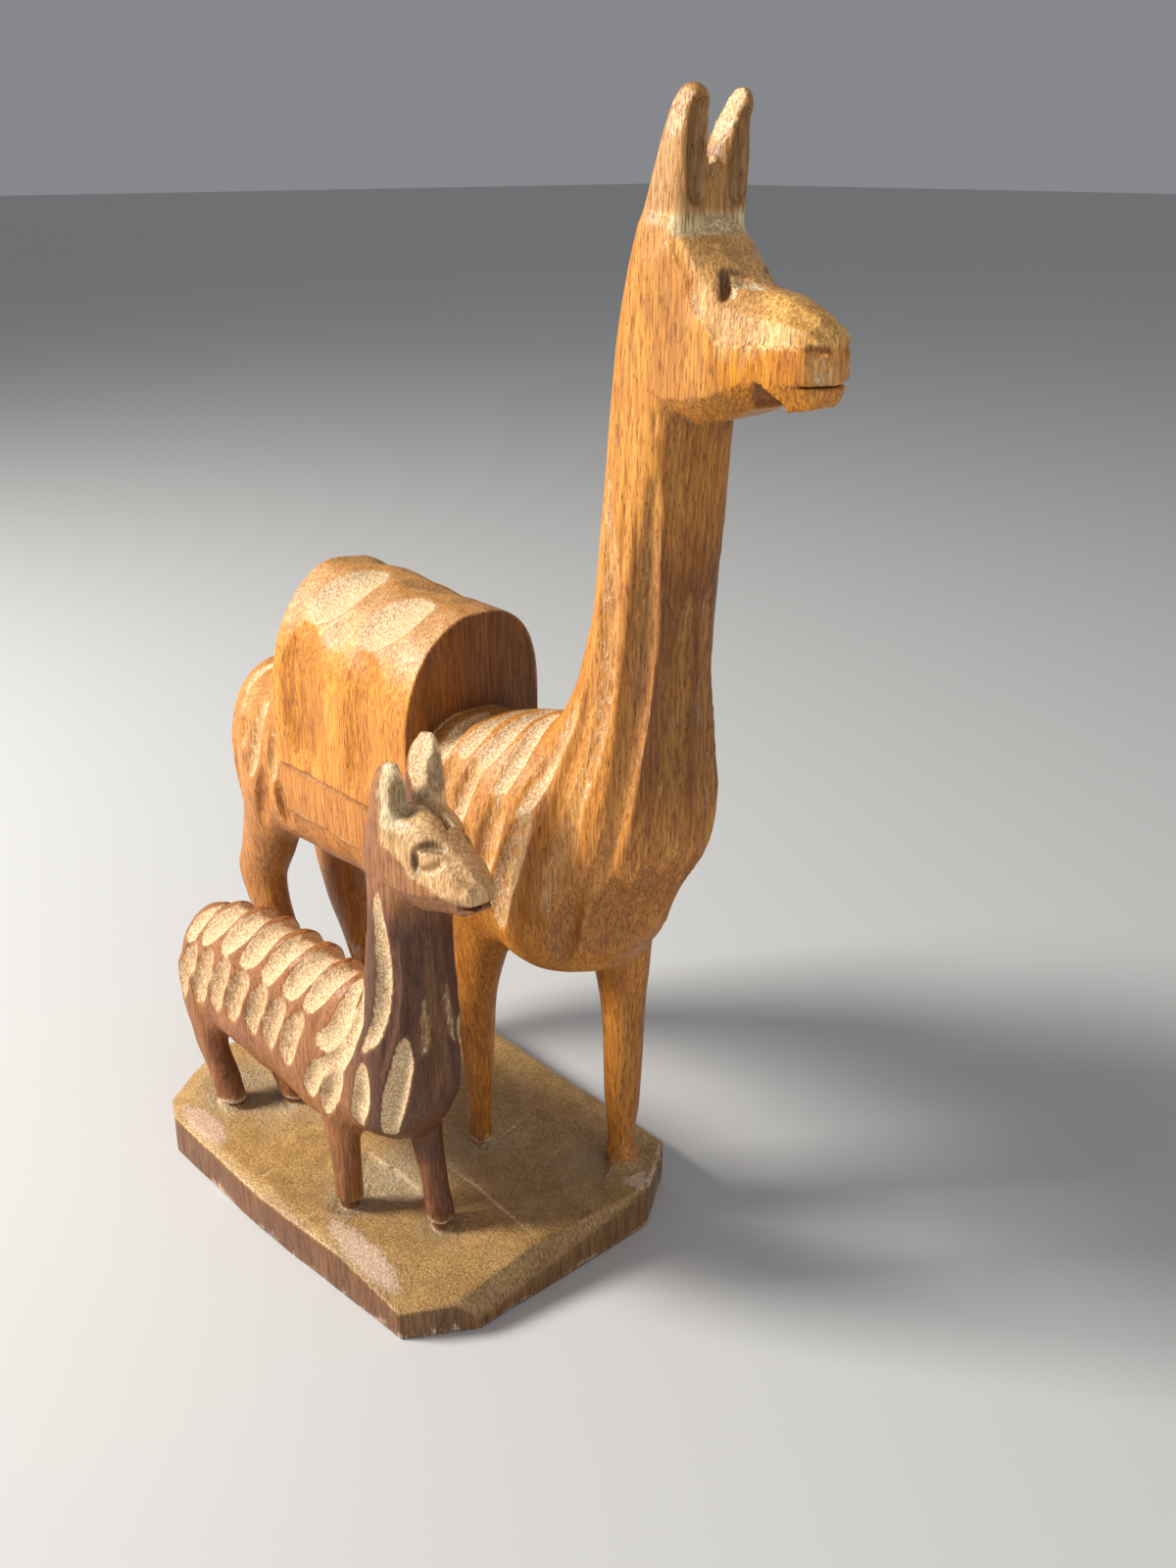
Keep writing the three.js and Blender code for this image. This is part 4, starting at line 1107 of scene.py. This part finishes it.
pale = np.clip(pale * (1 - 0.15 * young), 0, 1)
worn = rise(edge, 0.18, 0.5) * (0.55 + 0.45 * on_base_part)
worn *= (1 - 0.8 * rise(Z, 150, 170)) * (1 - 0.7 * young)
worn = np.maximum(worn, on_base_part * level * spot((-34, -37.4, 10.4), (10, 3.2, 6)))
worn = np.maximum(worn, on_base_part * level * spot((26, -34.4, 9.5), (14, 3.2, 6)))
feet = [(14, 4), (36, 20), (9.5, -18), (12, -12), (-43.7, -21), (-26, -16), (-38, -26)]
dust = sum(spot((x, y, base_height), (9, 9, 7)) for x, y in feet) * on_base_part * rise(NZ, 0.3, 0.8) * 0.7
dust = np.clip(dust + 0.35 * on_base_part * rise(sunk, 0.1, 0.5) * rise(NZ, 0.2, 0.7), 0, 1)

colours = mesh.attributes.new("tint", "FLOAT_COLOR", "POINT")
colours.data.foreach_set("color", np.column_stack([tint, np.ones(len(tint))]).astype(np.float32).ravel())
marks = mesh.attributes.new("marks", "FLOAT_VECTOR", "POINT")
marks.data.foreach_set("vector", np.column_stack([pale, worn, dust]).astype(np.float32).ravel())

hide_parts(NODE)
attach(carving, "root")

material = bpy.data.materials.new("carved_wood")
material.use_nodes = True
tree = material.node_tree
shader = tree.nodes["Principled BSDF"]


def node(kind, settings=None, **inputs):
    """A shader node with its inputs set by name, to a number, a colour or another node's output."""
    made = tree.nodes.new("ShaderNode" + kind)
    for name, value in (settings or {}).items():
        setattr(made, name, value)
    for name, value in inputs.items():
        slot = made.inputs[int(name[1:])] if name[0] == "_" and name[1:].isdigit() else made.inputs[name]
        if isinstance(value, bpy.types.NodeSocket):
            tree.links.new(value, slot)
        else:
            slot.default_value = value
    return made


def maths(operation, a, b=0.0, clamp=False):
    return node("Math", {"operation": operation, "use_clamp": clamp}, _0=a, _1=b).outputs[0]


def mixed(factor, a, b, blend="MIX"):
    made = node("Mix", {"data_type": "RGBA", "blend_type": blend}, _0=factor, _6=a, _7=b)
    return made.outputs[2]


def stepped(value, start, end):
    """Nought up to the start, one from the end."""
    made = node("MapRange", {"interpolation_type": "SMOOTHSTEP"}, Value=value)
    made.inputs["From Min"].default_value = start
    made.inputs["From Max"].default_value = end
    return made.outputs[0]


place = node("TexCoord").outputs["Object"]


def grain(across, along, detail=3.0, roughness=0.6, distortion=0.0):
    """Noise drawn out along the grain, from the size of its marks across and along it in millimetres."""
    scaled = node("Mapping", {"vector_type": "POINT"}, Vector=place)
    scaled.inputs["Scale"].default_value = (1000 / across, 1000 / across, 1000 / along)
    noise = node("TexNoise", Vector=scaled.outputs[0], Scale=1.0, Detail=detail, Roughness=roughness)
    noise.inputs["Distortion"].default_value = distortion
    return noise.outputs[0]


tint_colour = node("Attribute", {"attribute_name": "tint"}).outputs["Color"]
marked = node("SeparateXYZ", Vector=node("Attribute", {"attribute_name": "marks"}).outputs["Vector"])
streaks = grain(0.5, 8, 3, 0.6, 0.15)
pores = grain(0.3, 2.4, 2, 0.5)
bands = grain(5, 70, 3, 0.55, 0.4)
specks = grain(0.4, 0.5, 2, 0.6)
ragged = grain(0.8, 2.2, 3, 0.65)

light_grain = stepped(streaks, 0.36, 0.66)
tone = mixed(light_grain, (0.70, 0.60, 0.48, 1), (1.17, 1.15, 1.12, 1))
colour = mixed(1.0, tint_colour, tone, "MULTIPLY")
band_tone = mixed(stepped(bands, 0.3, 0.7), (0.84, 0.79, 0.73, 1), (1.10, 1.10, 1.08, 1))
colour = mixed(1.0, colour, band_tone, "MULTIPLY")
pore_mask = stepped(pores, 0.42, 0.34)
colour = mixed(pore_mask, colour, mixed(1.0, colour, (0.62, 0.5, 0.4, 1), "MULTIPLY"))


def torn(amount, spread):
    """A mark's amount with a ragged border."""
    shifted = maths("ADD", amount, maths("MULTIPLY", maths("SUBTRACT", ragged, 0.5), spread))
    return stepped(shifted, 0.28, 0.62)


pale_mask = maths("MULTIPLY", torn(marked.outputs[0], 0.9), 0.86)
pale_colour = mixed(stepped(specks, 0.38, 0.62), (0.56, 0.31, 0.11, 1), (0.90, 0.72, 0.47, 1))
colour = mixed(pale_mask, colour, pale_colour)
worn_mask = maths("MULTIPLY", torn(marked.outputs[1], 0.7), 0.8)
worn_colour = mixed(stepped(specks, 0.35, 0.65), (0.60, 0.36, 0.22, 1), (0.86, 0.65, 0.50, 1))
colour = mixed(worn_mask, colour, worn_colour)
dust_mask = maths("MULTIPLY", marked.outputs[2], stepped(ragged, 0.3, 0.7))
colour = mixed(dust_mask, colour, (0.50, 0.42, 0.28, 1))
tree.links.new(colour, shader.inputs["Base Color"])

raw = maths("MAXIMUM", maths("MAXIMUM", pale_mask, worn_mask), dust_mask)
gloss = maths("ADD", 0.44, maths("MULTIPLY", raw, 0.32))
gloss = maths("ADD", gloss, maths("MULTIPLY", maths("SUBTRACT", 0.5, streaks), 0.25), True)
tree.links.new(gloss, shader.inputs["Roughness"])

height = maths("ADD", maths("MULTIPLY", streaks, 0.8), maths("MULTIPLY", pore_mask, -0.45))
height = maths("ADD", height, maths("MULTIPLY", maths("MULTIPLY", ragged, 1.6), maths("ADD", raw, 0.25)))
bump = node("Bump", Height=height, Strength=0.75, Distance=0.00022)
tree.links.new(bump.outputs[0], shader.inputs["Normal"])
mesh.materials.clear()
mesh.materials.append(material)

# Floor, camera and lights.
FLOOR_HALF = 8.0
floor_mesh = bpy.data.meshes.new("floor")
corners = [(sx * FLOOR_HALF, sy * FLOOR_HALF, 0) for sx, sy in ((-1, -1), (1, -1), (1, 1), (-1, 1))]
floor_mesh.from_pydata(corners, [], [(0, 1, 2, 3)])
floor = bpy.data.objects.new("floor", floor_mesh)
bpy.context.scene.collection.objects.link(floor)
floor_material = bpy.data.materials.new("floor")
floor_material.use_nodes = True
floor_shader = floor_material.node_tree.nodes["Principled BSDF"]
floor_shader.inputs["Base Color"].default_value = (0.62, 0.62, 0.61, 1)
floor_shader.inputs["Roughness"].default_value = 0.85
floor_mesh.materials.append(floor_material)

CAMERA_PLACE = np.array([233.375, -158.312, 216.0])
CAMERA_TURN, CAMERA_DROP = 48.2, 23.3
camera_data = bpy.data.cameras.new("camera")
camera_data.sensor_width = 36
camera_data.lens = 33.75
camera_data.clip_start, camera_data.clip_end = 0.01, 20
camera = bpy.data.objects.new("camera", camera_data)
camera.location = (CAMERA_PLACE + SHIFT) * MM
camera.rotation_euler = (math.radians(90 - CAMERA_DROP), 0, math.radians(CAMERA_TURN))
bpy.context.scene.collection.objects.link(camera)
bpy.context.scene.camera = camera


def area_light(name, place, target, size, power, colour):
    data = bpy.data.lights.new(name, "AREA")
    data.shape = "RECTANGLE"
    data.size, data.size_y = size
    data.energy = power
    data.color = colour
    lamp = bpy.data.objects.new(name, data)
    lamp.location = place
    lamp.rotation_euler = (Vector(target) - Vector(place)).to_track_quat("-Z", "Y").to_euler()
    bpy.context.scene.collection.objects.link(lamp)


area_light("key", (-0.55, -0.62, 0.56), (0, 0, 0.09), (0.26, 0.26), 15.5, (1, 0.97, 0.92))
area_light("fill", (0.9, -0.1, 0.5), (0, 0, 0.1), (0.7, 0.7), 1.9, (0.95, 0.97, 1))
world = bpy.data.worlds.new("studio")
bpy.context.scene.world = world
world.use_nodes = True
world.node_tree.nodes["Background"].inputs["Color"].default_value = (0.93, 0.95, 1, 1)
world.node_tree.nodes["Background"].inputs["Strength"].default_value = 0.26
bpy.context.scene.view_settings.view_transform = "Standard"
